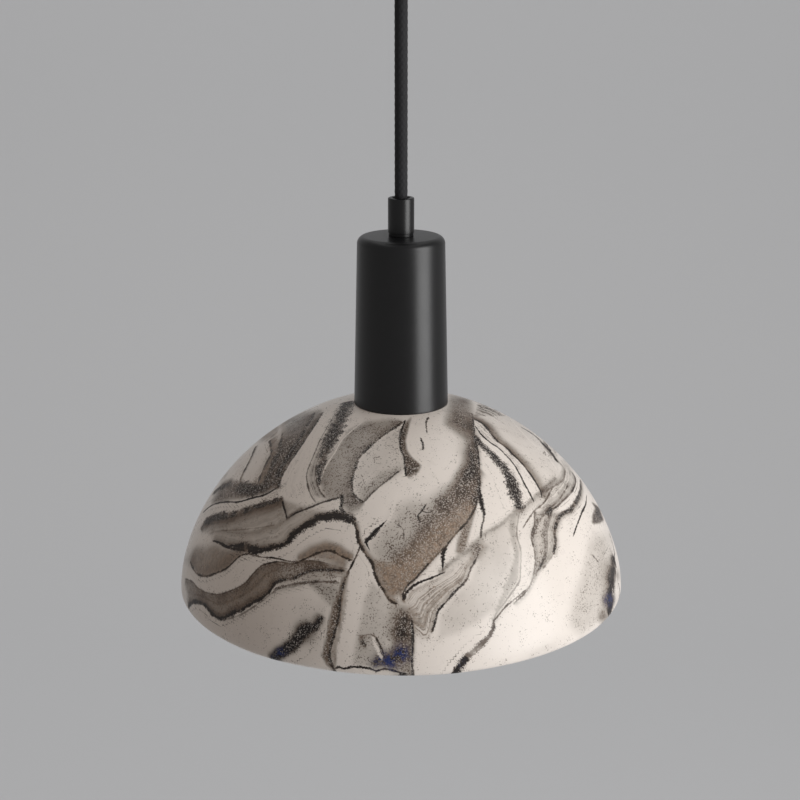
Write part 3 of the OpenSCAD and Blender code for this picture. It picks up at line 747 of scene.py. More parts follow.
def smooth_route(points, steps):
    """A Catmull-Rom line through points, whose first and last stretches stay straight."""
    inner = [Vector(p) for p in points[1:-1]]
    line = [Vector(points[0])]
    for k in range(len(inner) - 1):
        a, b = inner[max(k - 1, 0)], inner[k]
        c, d = inner[k + 1], inner[min(k + 2, len(inner) - 1)]
        for t in (j / steps for j in range(steps)):
            line.append(
                (
                    2 * b
                    + (c - a) * t
                    + (2 * a - 5 * b + 4 * c - d) * t * t
                    + (3 * b - a - 3 * c + d) * t ** 3
                )
                / 2
            )
    return line + [inner[-1], Vector(points[-1])]


def tube(name, line, r, sides):
    """A closed round tube along a line, with its turn and its length as a UV map."""
    shape = bmesh.new()
    uv = shape.loops.layers.uv.new("UVMap")
    rings = []
    # A direction that no line starts along
    across = Vector((0.31, 0.17, 0.93))
    travelled = [0.0]
    for k, here in enumerate(line):
        ahead = (line[min(k + 1, len(line) - 1)] - line[max(k - 1, 0)]).normalized()
        across = (across - across.dot(ahead) * ahead).normalized()
        side = ahead.cross(across)
        turns = [math.tau * s / sides for s in range(sides)]
        ring = [shape.verts.new(here + r * (math.cos(a) * across + math.sin(a) * side)) for a in turns]
        rings.append(ring)
        if k:
            travelled.append(travelled[-1] + (here - line[k - 1]).length)
    for k in range(len(rings) - 1):
        for s in range(sides):
            n = (s + 1) % sides
            face = shape.faces.new((rings[k][s], rings[k][n], rings[k + 1][n], rings[k + 1][s]))
            corners = ((s, k), (s + 1, k), (s + 1, k + 1), (s, k + 1))
            for loop, (u, v) in zip(face.loops, corners):
                loop[uv].uv = (u / sides, travelled[v])
    shape.faces.new(list(reversed(rings[0])))
    shape.faces.new(rings[-1])
    data = bpy.data.meshes.new(name)
    shape.to_mesh(data)
    shape.free()
    piece = bpy.data.objects.new(name, data)
    bpy.context.scene.collection.objects.link(piece)
    return piece


def softened(node, width, segments=2, angle=32):
    """A copy of a frame node with its corners eased."""
    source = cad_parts[node]
    bpy.ops.object.select_all(action="DESELECT")
    piece = source.copy()
    piece.data = source.data.copy()
    piece.name = node + "_finished"
    piece.data.name = piece.name
    bpy.context.scene.collection.objects.link(piece)
    piece.parent = None
    for key in [k for k in piece.keys() if k.startswith("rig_")]:
        del piece[key]
    piece.select_set(True)
    bpy.context.view_layer.objects.active = piece
    bpy.ops.object.mode_set(mode="EDIT")
    bpy.ops.mesh.select_all(action="SELECT")
    bpy.ops.mesh.remove_doubles(threshold=2e-6)
    bpy.ops.mesh.dissolve_limited(angle_limit=math.radians(2))
    bpy.ops.object.mode_set(mode="OBJECT")
    bevel = piece.modifiers.new("Eased corners", "BEVEL")
    bevel.width = width
    bevel.segments = segments
    bevel.limit_method = "ANGLE"
    bevel.angle_limit = math.radians(angle)
    bpy.ops.object.modifier_apply(modifier=bevel.name)
    smooth(piece, 40)
    level = piece.modifiers.new("Level faces", "WEIGHTED_NORMAL")
    level.keep_sharp = True
    bpy.ops.object.modifier_apply(modifier=level.name)
    return piece


# The clay's figure, read off the photograph. Points, feathers and a bloom's size are in its
# pixels, and a vein's width and fades are in millimetres on the clay.

# Lines that edge an area as well
STEEP_SKY = ((206, 481), (214, 465), (228, 448), (243, 434), (258, 422), (280, 409))
STEEP_EDGE = ((278, 487), (281, 477), (289, 463), (300, 447), (312, 429), (322, 413))
PALE_LINE = ((315, 502), (310, 494), (307, 483), (307, 472), (314, 454), (322, 436), (334, 416))
PALE_EDGE = ((324, 497), (319, 490), (316, 480), (316, 467), (319, 457), (327, 442), (338, 420))
WAVE_THIN = ((203, 512), (212, 505), (225, 502), (238, 502), (252, 498), (264, 495), (273, 490), (278, 487))
WAVE_DARK = ((201, 528), (206, 521), (219, 517), (231, 515), (244, 511), (257, 506), (270, 503), (281, 499))
WAVE_BLACK = (
    (213, 541), (219, 543), (226, 547), (234, 549), (240, 550), (249, 550), (257, 552), (262, 551),
    (270, 548), (280, 546), (287, 542), (293, 535), (301, 529), (309, 524), (316, 520), (324, 517),
    (334, 516), (345, 517), (351, 520),
)
RIBBON_TOP = (
    (185, 579), (192, 582), (197, 588), (206, 593), (216, 595), (225, 593), (235, 589), (244, 584),
    (252, 575), (260, 567), (267, 564), (278, 562), (291, 564), (303, 562), (315, 562), (328, 566),
    (342, 569),
)
RIBBON_FOOT = (
    (188, 607), (192, 602), (198, 602), (204, 605), (210, 612), (216, 617), (222, 618), (231, 614),
    (242, 609), (252, 603), (262, 598), (269, 592), (274, 584), (282, 580), (291, 579), (300, 575),
    (311, 571), (321, 570), (334, 570), (343, 571),
)
COLUMN_EDGE = ((348, 574), (343, 586), (340, 603), (338, 620), (333, 637), (329, 656), (333, 666))
FAN_SKY = ((480, 396), (497, 400), (515, 409), (530, 421), (545, 434), (556, 447), (560, 459), (560, 475),
           (552, 488))
FAN_EDGE = ((472, 418), (482, 423), (489, 430), (497, 440), (507, 448), (516, 457), (523, 464), (530, 473),
            (536, 482), (541, 491), (542, 496))
FAN_THIN = ((476, 427), (482, 435), (490, 442), (499, 448), (507, 456), (514, 464), (520, 474), (525, 484),
            (530, 493), (534, 501))
SWIRL_IN = ((523, 509), (535, 498), (547, 487), (556, 478), (562, 468), (558, 459))
SWIRL_OUT = ((554, 512), (565, 502), (573, 492), (577, 480), (573, 468), (566, 458))
TURN_1 = ((516, 503), (513, 514), (509, 524), (511, 538), (515, 552), (512, 568), (507, 581), (502, 595),
          (497, 609), (493, 619))
TURN_2 = ((520, 510), (517, 534), (521, 550), (521, 568), (520, 581), (513, 592), (505, 603), (496, 615),
          (494, 628))
TURN_3 = ((535, 512), (535, 524), (532, 538), (535, 550), (536, 561), (534, 576), (528, 590), (515, 603))
TURN_4 = ((552, 508), (547, 524), (545, 534), (546, 548), (545, 558), (540, 568), (533, 580))
TURN_5 = ((562, 514), (557, 523), (555, 533), (556, 541), (553, 555), (544, 568))
LEAF_TOP = ((404, 600), (410, 590), (425, 583), (441, 575), (455, 566), (474, 552), (482, 549))
LEAF_FOOT = ((411, 628), (422, 641), (430, 640), (434, 628), (437, 613), (444, 603), (454, 592), (466, 583),
             (469, 570), (477, 558), (482, 549))


class Vein(NamedTuple):
    """A line of stained clay, pale where dark is below 0; left and right are how far its two sides
    fade and how dark they start."""

    points: tuple
    width: float = 0.3
    dark: float = 0.8
    left: tuple = (0, 0)
    right: tuple = (0, 0)
    grain: float = 0.3
    warm: float = 0.0
    swell: tuple = (1, 1, 1)


class Panel(NamedTuple):
    """An area of clay inside its side, or between it and its other side, which bands then follow."""

    side: tuple
    other_side: tuple = ()
    tone: float = 0.0
    grain: float = 0.0
    warm: float = 0.0
    banding: float = 0.0
    lines: float = 4
    clean: float = 0.0
    feather: float = 4.0


class Bloom(NamedTuple):
    """A round cloud of stain, and the cobalt that bled from it."""

    centre: tuple
    size: float
    tone: float = 0.0
    grain: float = 0.7
    blue: float = 0.0


# The swell of a vein that is thick in its middle and runs out at both ends
LENS = (0.1, 1, 0.1)

PANELS = (
    # Steep bands at the upper left, the cream beside them and its faint lines
    Panel(STEEP_SKY, STEEP_EDGE, tone=0.13, grain=0.5, warm=0.9, banding=0.5, lines=6),
    Panel(
        ((222, 486), (226, 468), (243, 448), (256, 440), (268, 441), (268, 452), (262, 464), (257, 478),
         (246, 487)),
        tone=0.05, grain=0.2, warm=0.5, feather=4,
    ),
    Panel(
        ((263, 484), (267, 468), (274, 451), (284, 437), (298, 424), (318, 418), (300, 447), (289, 463),
         (281, 477), (278, 486)),
        tone=0.64, grain=1.0, warm=0.35, feather=4,
    ),
    Panel(((283, 419), (300, 413), (320, 411), (313, 428), (300, 437), (284, 437)), tone=0.46, grain=0.6),
    Panel(
        ((287, 519), (281, 497), (279, 487), (281, 477), (289, 463), (300, 447), (312, 429), (322, 413)),
        ((315, 502), (309, 492), (305, 482), (306, 468), (312, 452), (320, 436), (332, 414)),
        banding=0.1, lines=2, clean=0.6, feather=2,
    ),
    Panel(PALE_LINE, PALE_EDGE, tone=0.1, grain=0.2, banding=0.7, lines=3, feather=2),
    # Speckled grey clay below the cup, and the lens beside it
    Panel(
        ((350, 430), (340, 443), (332, 454), (325, 467), (321, 480), (321, 490), (326, 498), (340, 498),
         (347, 496), (350, 480), (352, 466), (359, 455), (372, 441), (386, 431), (402, 421), (390, 419),
         (366, 422)),
        tone=0.36, grain=0.8, warm=0.15, feather=3,
    ),
    Panel(
        ((400, 426), (404, 440), (405, 457), (405, 466), (402, 474), (392, 480), (380, 487), (368, 497),
         (360, 503), (356, 497), (353, 485), (354, 472), (359, 459), (370, 447), (384, 436)),
        tone=0.15, grain=0.9, feather=3,
    ),
    Panel(((404, 466), (388, 476), (372, 488), (360, 503), (362, 490), (380, 474)), tone=0.32, grain=0.9),
    Panel(
        ((405, 423), (401, 432), (400, 440), (401, 449), (404, 457), (405, 466), (406, 475), (409, 478),
         (418, 472), (421, 466), (412, 458), (407, 451), (405, 441), (407, 432), (411, 418)),
        tone=0.66, grain=1.0, warm=0.3, feather=1.6,
    ),
    Panel(
        ((452, 398), (468, 398), (471, 415), (472, 430), (466, 436), (456, 432), (447, 424), (449, 412)),
        tone=0.66, grain=0.85, warm=0.3, feather=7,
    ),
    Panel(((404, 478), (400, 500), (388, 521), (370, 524), (358, 510), (372, 496)), clean=0.4, tone=0.02),
    # The large slanting panel and its brown lower edge
    Panel(
        ((404, 480), (418, 478), (440, 476), (462, 462), (476, 456), (480, 480), (476, 505), (468, 521),
         (452, 540), (436, 556), (415, 579), (404, 598), (392, 598), (377, 578), (368, 552), (382, 534),
         (392, 520), (398, 500)),
        tone=0.03, grain=0.5, feather=5,
    ),
    Panel(
        ((396, 508), (410, 500), (428, 498), (444, 488), (452, 492), (440, 512), (424, 532), (408, 550),
         (392, 566), (380, 572), (372, 556), (369, 546), (380, 532), (388, 522)),
        tone=0.27, grain=0.85, feather=8,
    ),
    Panel(
        ((478, 480), (479, 494), (474, 510), (464, 525), (452, 539), (436, 558), (418, 577), (406, 589),
         (394, 598), (386, 594), (380, 579), (376, 562), (390, 564), (407, 549), (423, 532), (439, 519),
         (452, 505), (466, 492)),
        tone=0.36, grain=0.9, warm=1.0, feather=4,
    ),
    Panel(
        ((476, 436), (479, 460), (480, 480), (476, 498), (462, 510), (446, 520), (440, 508), (452, 490),
         (464, 468), (470, 450)),
        tone=0.5, grain=0.9, warm=0.4, feather=7,
    ),
    Panel(((475, 512), (472, 514), (465, 526), (458, 540), (456, 553), (463, 556), (466, 547), (470, 532)),
          tone=0.5, grain=0.8, warm=0.3, feather=2),
    Panel(((342, 497), (352, 495), (360, 502), (358, 510), (350, 512), (343, 506)), tone=0.5, grain=0.9),
    # Waves at the left
    Panel(
        ((214, 498), (222, 484), (231, 480), (243, 486), (255, 486), (276, 478), (279, 486), (264, 493),
         (250, 496), (232, 499), (212, 503)),
        tone=0.6, grain=1.0, warm=0.35, feather=3,
    ),
    Panel(WAVE_THIN, WAVE_DARK, tone=0.06, grain=0.2, warm=0.3, banding=0.25, lines=3, feather=2),
    Panel(WAVE_DARK, WAVE_BLACK, tone=0.17, grain=0.2, warm=0.3, banding=0.3, lines=5, feather=3),
    Panel(
        ((184, 560), (194, 548), (213, 543), (235, 551), (248, 554), (237, 558), (225, 569), (216, 573),
         (206, 576), (197, 574), (190, 566)),
        tone=0.26, grain=0.35, warm=0.65, banding=0.1, feather=6,
    ),
    Panel(
        ((296, 559), (309, 546), (325, 541), (340, 546), (351, 557), (345, 569), (330, 563), (315, 560)),
        tone=0.24, grain=0.35, warm=0.85, feather=5,
    ),
    Panel(RIBBON_TOP, RIBBON_FOOT, tone=0.29, grain=0.6, warm=0.6, banding=0.35, lines=4, feather=1.5),
    Panel(
        ((284, 564), (303, 562), (328, 566), (344, 570), (334, 584), (315, 583), (296, 584), (280, 589),
         (276, 583)),
        tone=0.24, grain=0.85, warm=0.2, feather=5,
    ),
    # Below the waves
    Panel(((296, 604), (331, 594), (330, 630), (322, 656), (306, 656), (296, 640)), tone=0.1, grain=0.6,
          feather=9),
    Panel(((307, 582), (317, 581), (339, 586), (336, 596), (331, 605), (318, 592)), tone=0.4, grain=1.0),
    Panel(
        ((345, 570), (339, 591), (333, 605), (329, 622), (326, 639), (322, 656), (327, 666), (334, 670)),
        tuple(reversed(COLUMN_EDGE)),
        tone=0.62, grain=0.95, warm=0.55, feather=1.5,
    ),
    Panel(
        ((357, 548), (364, 560), (371, 574), (362, 600), (358, 622), (355, 638), (351, 662), (337, 664),
         (336, 650), (341, 622), (346, 590), (351, 570)),
        clean=0.85, feather=3,
    ),
    Panel(
        ((372, 582), (384, 594), (396, 606), (393, 620), (388, 640), (386, 655), (378, 668), (352, 666),
         (356, 640), (360, 620), (364, 600)),
        tone=0.22, grain=0.7, feather=3,
    ),
    Panel(
        ((392, 604), (406, 606), (408, 618), (412, 628), (413, 643), (413, 676), (396, 673), (388, 660),
         (392, 644), (388, 630), (390, 616)),
        tone=0.34, grain=0.8, warm=0.2, feather=5,
    ),
    # The brown leaf, the pale clay beside it and the turning stripes
    Panel(LEAF_TOP, LEAF_FOOT, tone=0.12, grain=0.6, warm=0.45, banding=0.45, lines=7, feather=2),
    Panel(
        ((484, 538), (508, 522), (512, 540), (514, 560), (505, 585), (497, 609), (480, 622), (458, 634),
         (438, 640), (440, 615), (452, 598), (470, 580), (480, 556)),
        tone=0.15, grain=0.25, feather=4,
    ),
    Panel(TURN_1, TURN_2, tone=0.22, grain=0.4, banding=0.4, lines=2, feather=3),
    Panel(TURN_2, TURN_3, tone=0.05, grain=0.1, banding=0.45, lines=3, feather=2),
    Panel(TURN_3, TURN_4, tone=0.2, grain=0.95, warm=0.1, banding=0.8, lines=6, feather=2),
    Panel(TURN_4, TURN_5, tone=0.2, grain=0.5, banding=0.7, lines=3, feather=2),
    # The fan at the right and its swirl
    Panel(FAN_EDGE, FAN_SKY, tone=0.1, grain=0.3, warm=0.1, banding=0.75, lines=7, feather=2),
    Panel(FAN_THIN, FAN_EDGE, tone=0.02, banding=0.4, lines=3, feather=2),
    Panel(SWIRL_IN, SWIRL_OUT, tone=0.1, grain=0.6, banding=0.4, lines=7, feather=2),
    Panel(
        ((552, 478), (562, 474), (556, 486), (545, 498), (534, 508), (520, 517), (508, 525), (496, 534),
         (486, 542), (478, 551), (468, 559), (456, 567), (441, 577), (438, 571), (454, 559), (466, 551),
         (476, 543), (486, 532), (500, 524), (512, 513), (524, 507), (536, 496)),
        tone=0.14, grain=0.6, feather=3,
    ),
    Panel(((471, 545), (480, 540), (487, 548), (480, 558), (472, 561)), tone=0.4, grain=0.9, warm=0.3),
    Panel(((593, 503), (596, 508), (593, 515), (593, 524), (600, 523), (604, 520), (600, 508)),
          tone=0.8, grain=0.9, feather=1.2),
    # The right edge
    Panel(
        ((596, 533), (610, 535), (612, 554), (606, 576), (604, 595), (608, 611), (595, 625), (581, 636),
         (569, 625), (570, 602), (578, 581), (584, 561), (588, 545)),
        tone=0.22, grain=0.85, feather=8,
    ),
    Panel(((604, 566), (612, 560), (614, 580), (611, 606), (602, 620), (604, 596)), tone=0.42, grain=0.9,
          warm=0.2, feather=6),
    Panel(((521, 650), (545, 640), (565, 636), (562, 652), (530, 664)), tone=0.1, grain=0.6, feather=8),
    # Clean cream clay
    Panel(((416, 655), (455, 640), (490, 628), (484, 645), (462, 664), (448, 678), (415, 680)), clean=0.9),
    Panel(((500, 618), (533, 585), (556, 560), (585, 530), (580, 570), (568, 600), (566, 632), (520, 650),
           (470, 668), (490, 640)), clean=0.9, feather=6),
    Panel(((482, 450), (497, 470), (514, 505), (500, 520), (486, 530), (484, 500)), clean=0.9, feather=2),
    Panel(((414, 424), (440, 424), (462, 440), (450, 462), (428, 462), (412, 448)), clean=0.7),
)

BLOOMS = (
    Bloom((305, 632), 9, tone=0.95),
    Bloom((298, 640), 5, tone=0.9),
    Bloom((290, 647), 6, tone=0.95),
    Bloom((280, 653), 6, tone=0.7, blue=0.8),
    Bloom((272, 658), 4, tone=0.6, blue=0.3),
    Bloom((318, 619), 5, tone=0.35),
    Bloom((405, 618), 9, tone=0.7, grain=0.85),
    Bloom((402, 632), 10, tone=0.75, grain=0.85),
    Bloom((376, 664), 6, tone=0.45, blue=0.5),
    Bloom((390, 661), 9, tone=0.75, blue=1.0),
    Bloom((401, 654), 8, tone=0.7, blue=1.0),
    Bloom((382, 660), 7, tone=0.4, blue=0.6),
    Bloom((610, 600), 6, tone=0.6, blue=0.8),
    Bloom((604, 617), 5, tone=0.5),
    Bloom((613, 575), 6, tone=0.6),
    Bloom((462, 664), 4, tone=0.1, blue=0.2),
)

VEINS = (
    # Steep bands at the upper left, and the cream beside them
    Vein(((255, 447), (250, 459), (245, 469), (240, 480), (242, 487)), 0.4, 0.85, left=(1.5, 0.3), warm=0.6),
    Vein(((269, 441), (271, 453), (266, 463), (262, 472), (258, 482)), 0.35, 0.8, left=(3, 0.45), grain=0.8,
         warm=0.6),
    Vein(((282, 433), (279, 448), (274, 460), (269, 472), (265, 484)), 1.0, 0.75, left=(2, 0.5), grain=1.0,
         warm=0.4, swell=(0.3, 0.9, 1.4)),
    Vein(STEEP_EDGE, 0.4, 0.9, left=(2.5, 0.6), grain=0.9, warm=0.3),
    Vein(((274, 486), (278, 475), (285, 462), (296, 445), (304, 431), (314, 413)), 0.9, 0.85,
         left=(2.5, 0.5), grain=1.0, warm=0.2, swell=(1.3, 0.9, 0.5)),
    Vein(PALE_LINE, 0.22, 0.4, grain=0.1),
    Vein(PALE_EDGE, 0.25, 0.55, left=(1.2, 0.25), grain=0.2),
    Vein(
        ((348, 402), (340, 418), (334, 432), (328, 444), (323, 456), (319, 470), (319, 484)),
        2.1, 0.86, left=(3.0, 0.6), right=(1.0, 0.4), grain=1.0, warm=0.2, swell=(1.15, 1.1, 0.25),
    ),
    Vein(((361, 423), (349, 433), (341, 441), (335, 452), (327, 464), (322, 475), (320, 483)), 0.25, -0.7),
    # Round the grey clay and the lens
    Vein(
        ((402, 423), (388, 432), (377, 440), (366, 450), (359, 458), (355, 468), (352, 480), (352, 490),
         (356, 498), (363, 502)),
        0.4, 0.75, right=(3.2, 0.55), grain=1.0, warm=0.1,
    ),
    Vein(((398, 472), (388, 480), (380, 486), (371, 494), (363, 503)), 0.3, 0.6, right=(1.4, 0.35),
         grain=0.9),
    Vein(((405, 421), (401, 432), (400, 440), (401, 449), (404, 457), (405, 466), (406, 475)), 0.3, 0.9),
    Vein(((428, 418), (426, 424), (427, 432)), 0.3, 0.75, grain=1.0, swell=(1.2, 0.7, 0.8)),
    Vein(((421, 439), (423, 444), (423, 449)), 0.3, 0.75, grain=1.0),
    Vein(((404, 478), (398, 491), (393, 509), (388, 521)), 0.4, -0.5),
    Vein(((341, 496), (342, 501), (341, 507), (343, 512), (350, 517), (354, 520)), 0.5, 0.85, grain=0.9),
    Vein(
        ((352, 521), (356, 528), (358, 540), (364, 552), (372, 564), (376, 578), (383, 590), (389, 600),
         (396, 604)),
        0.4, 0.85, left=(1.8, 0.45), grain=0.6, warm=0.6,
    ),
    Vein(((385, 522), (378, 529), (370, 538), (366, 542), (369, 549)), 0.8, 1.0, swell=LENS),
    Vein(((426, 505), (422, 511), (418, 516), (420, 522)), 0.22, 0.8, grain=0.9),
    Vein(((422, 511), (428, 513), (434, 510)), 0.2, 0.7, grain=0.9),
    Vein(((398, 525), (403, 529), (404, 536)), 0.2, 0.6, grain=0.9),
    # Waves at the left
    Vein(((213, 493), (222, 487), (231, 486), (243, 489), (255, 489), (266, 486), (278, 481)), 1.5, 0.8,
         left=(2, 0.6), right=(1.6, 0.5), grain=1.0, warm=0.3, swell=(0.7, 1.3, 1.2)),
    Vein(WAVE_THIN, 0.3, 0.95),
    Vein(WAVE_DARK, 1.2, 0.78, left=(0.8, 0.4), right=(4.8, 0.85), grain=0.75, warm=0.5,
         swell=(1.3, 1, 0.7)),
    Vein(((213, 531), (238, 530), (257, 528), (270, 526), (282, 524)), 0.22, 0.35, warm=0.4),
    Vein(((282, 502), (285, 512), (287, 519)), 0.3, 0.75, left=(1, 0.3)),
    Vein(((287, 519), (296, 513), (309, 508), (321, 503), (338, 498)), 0.3, 0.7, left=(1.2, 0.35), grain=0.9),
    Vein(WAVE_BLACK, 1.05, 1.0, left=(2.6, 0.5), grain=0.5, warm=0.2, swell=(0.25, 0.9, 1.3)),
    Vein(((228, 546), (236, 546), (245, 547), (255, 549), (265, 549)), 1.3, 1.0, left=(2, 0.6), grain=0.6,
         swell=LENS),
    Vein(
        ((190, 562), (192, 567), (197, 574), (206, 576), (216, 573), (225, 569), (231, 564), (237, 558),
         (242, 555), (248, 554)),
        0.32, 0.85, left=(6, 0.35), grain=0.4, warm=0.75, swell=(1.3, 1.2, 0.7),
    ),
    Vein(
        ((248, 554), (260, 557), (273, 558), (283, 560), (293, 562), (303, 561), (315, 561), (328, 564),
         (338, 567), (346, 569)),
        0.2, 0.55, grain=0.4,
    ),
    Vein(
        ((300, 561), (309, 557), (318, 553), (327, 551), (334, 552), (341, 556), (351, 560)),
        0.32, 0.85, left=(4, 0.3), grain=0.4, warm=0.8,
    ),
    Vein(RIBBON_TOP, 0.25, 0.6, right=(3.2, 0.42), grain=0.6, warm=0.4),
    Vein(RIBBON_FOOT, 0.5, 1.0, left=(3.2, 0.6), right=(0.6, 0.3), grain=0.6, warm=0.3,
         swell=(1.3, 1.2, 0.7)),
    Vein(((223, 620), (240, 615), (262, 601), (278, 589), (291, 587), (303, 584)), 0.3, 0.4, right=(1.6, 0.2),
         grain=0.8),
    Vein(((275, 589), (291, 585), (303, 583), (315, 582), (328, 582), (338, 583)), 0.4, 0.6, grain=1.0),
    Vein(((186, 611), (191, 617), (197, 622)), 0.3, 0.6, grain=0.6),
    # Lower left
    Vein(((360, 547), (354, 561), (348, 572), (342, 587)), 0.3, 0.7, grain=0.6),
    Vein(COLUMN_EDGE, 0.35, 0.9, right=(1.2, 0.5), grain=0.9, warm=0.3),
    Vein(((345, 590), (341, 617), (336, 638), (332, 660)), 1.0, 0.2, grain=0.3, warm=0.6),
    Vein(
        ((271, 658), (283, 651), (291, 646), (297, 639), (303, 630), (314, 627), (321, 618)),
        1.3, 1.0, left=(2.6, 0.7), right=(2.2, 0.6), grain=0.9, swell=(0.6, 1.3, 0.5),
    ),
    Vein(((238, 651), (252, 656), (269, 659)), 0.3, 0.7, grain=0.9),
    Vein(
        ((330, 664), (334, 669), (338, 667), (343, 669), (355, 667), (371, 669), (376, 671), (386, 669),
         (401, 673), (412, 676)),
        0.3, 0.85, grain=0.8,
    ),
    Vein(((376, 638), (380, 646), (384, 655), (386, 661)), 0.28, 0.6, grain=0.9, warm=0.4),
    Vein(((373, 637), (375, 645), (379, 653), (382, 659)), 0.4, -0.7),
    Vein(((361, 637), (362, 643), (365, 646)), 0.4, 0.5, right=(1.2, 0.3), grain=1.0, warm=0.4),
    Vein(((361, 637), (366, 635), (372, 635), (376, 638)), 0.22, 0.45, right=(1.2, 0.3), grain=0.9, warm=0.4),
    Vein(((412, 620), (413, 640), (412, 660), (413, 677)), 0.3, 0.8, right=(1.5, 0.5), grain=1.0),
    # The slanting panel's edges
    Vein(
        ((472, 414), (474, 427), (475, 439), (478, 451), (479, 463), (480, 478), (479, 492), (476, 506)),
        0.3, 0.9, right=(3.2, 0.6), grain=0.9, warm=0.3,
    ),
    Vein(((470, 436), (472, 450), (475, 464), (474, 476)), 1.2, 0.3, right=(7, 0.42), grain=0.9, swell=LENS),
    Vein(
        ((477, 468), (466, 478), (457, 490), (448, 500), (437, 516), (427, 528), (418, 540), (408, 551),
         (393, 561)),
        1.0, 0.2, left=(5, 0.45), right=(4.5, 0.6), grain=0.9, warm=0.25, swell=(1.5, 1, 0.5),
    ),
    Vein(
        ((476, 507), (468, 521), (457, 533), (447, 545), (437, 555), (425, 568), (415, 579), (407, 586),
         (403, 595), (404, 601)),
        0.28, 0.75, right=(1.5, 0.35), grain=0.6, warm=0.7,
    ),
    Vein(((444, 573), (432, 578), (419, 583), (410, 589), (406, 594), (404, 600)), 0.35, 0.8, grain=0.6,
         swell=(0.5, 0.9, 1.4)),
    Vein(((453, 538), (447, 546), (443, 555), (443, 561), (443, 570)), 0.75, 1.0, swell=LENS),
    Vein(((479, 487), (481, 500), (484, 511)), 0.6, 1.0, swell=(0.6, 1, 0.9)),
    Vein(((484, 511), (484, 520), (482, 526), (481, 537)), 0.5, 0.9, grain=1.0, swell=(1, 0.6, 0.8)),
    Vein(
        ((480, 549), (477, 558), (471, 569), (466, 581), (457, 590), (447, 601), (438, 612), (435, 623),
         (432, 631)),
        0.3, 0.7, right=(1.4, 0.3), grain=1.0,
    ),
    # The fan at the right
    Vein(FAN_EDGE, 0.5, 0.9, left=(5, 0.6), grain=0.6, warm=0.3, swell=(1, 1, 0.4)),
    Vein(FAN_THIN, 0.28, 0.95),
    Vein(
        ((475, 436), (480, 443), (487, 449), (495, 457), (503, 467), (509, 477), (513, 487), (517, 498),
         (521, 508)),
        1.6, 0.9, grain=1.0, warm=0.1, swell=(0.5, 1.1, 1.2),
    ),
    Vein(((523, 428), (533, 434), (540, 440), (546, 447), (552, 453), (557, 461)), 1.0, 0.95,
         left=(2, 0.5), grain=0.6, swell=(0.4, 1.2, 0.7)),
    Vein(((511, 419), (525, 435), (540, 450), (551, 461), (556, 468)), 0.3, -0.6),
    Vein(((478, 405), (490, 414), (505, 424)), 0.25, 0.4),
    # The swirl and the turning stripes
    Vein(((559, 461), (565, 470), (563, 480), (553, 487), (544, 493)), 0.3, 0.4, right=(2, 0.3)),
    Vein(
        ((556, 478), (547, 487), (535, 498), (523, 509), (511, 516), (500, 526), (485, 534), (475, 545),
         (466, 553), (454, 561), (440, 573)),
        0.4, 0.3, left=(1.8, 0.16), right=(1.2, 0.3), grain=0.6,
    ),
    Vein(((573, 473), (576, 480), (573, 490), (565, 499), (554, 509), (542, 516)), 0.3, 0.6,
         right=(2, 0.35), grain=0.6),
    Vein(((568, 486), (559, 500), (549, 510), (538, 524), (533, 538)), 0.25, 0.5, right=(1.6, 0.3),
         grain=0.5),
    Vein(((553, 487), (545, 502), (534, 512), (524, 527)), 0.25, 0.45),
    Vein(((581, 480), (581, 490), (578, 499), (570, 510), (562, 514), (557, 523), (555, 533), (556, 541),
          (554, 553)), 0.6, 0.75, left=(2.4, 0.45), right=(1, 0.3), grain=1.0, warm=0.2,
         swell=(0.6, 1.1, 0.7)),
    Vein(((587, 496), (586, 504), (582, 513), (578, 523), (574, 535)), 0.28, 0.9, swell=(0.6, 1.2, 0.6)),
    Vein(TURN_1, 0.25, 0.12, left=(3, 0.14)),
    Vein(TURN_2, 0.25, 0.3, grain=0.3),
    Vein(TURN_3, 0.3, 0.5, left=(1.8, 0.3), grain=0.9),
    Vein(TURN_5, 0.25, 0.35, right=(1.6, 0.25), grain=0.7),
    Vein(TURN_4, 0.5, 0.6, left=(1.5, 0.35), right=(2, 0.35), grain=1.0, swell=(1, 1.1, 0.3)),
    # Lower right
    Vein(((527, 590), (516, 599), (507, 606), (500, 614), (494, 621)), 0.25, 0.5, grain=0.3),
    Vein(
        ((494, 621), (493, 629), (488, 638), (479, 647), (469, 655), (463, 662)),
        0.9, 0.5, left=(1, 0.2), right=(1, 0.2), grain=0.3, swell=(0.4, 1, 1),
    ),
    Vein(((466, 658), (460, 666), (456, 670), (450, 677)), 0.9, 1.0, left=(0.8, 0.4), grain=0.5,
         swell=(0.9, 1.1, 0.8)),
    Vein(
        ((615, 560), (613, 572), (612, 585), (611, 597), (611, 606), (609, 613)),
        2.4, 1.0, right=(5, 0.6), grain=0.6, swell=(0.7, 1.2, 0.7),
    ),
    Vein(((617, 570), (617, 590), (616, 608)), 0.35, -0.9),
    Vein(((619, 584), (620, 592), (619, 602)), 0.35, 0.95),
    Vein(((610, 534), (614, 548), (615, 560)), 0.35, 0.8),
    Vein(((594, 556), (597, 560), (599, 562)), 0.3, 0.7),
)


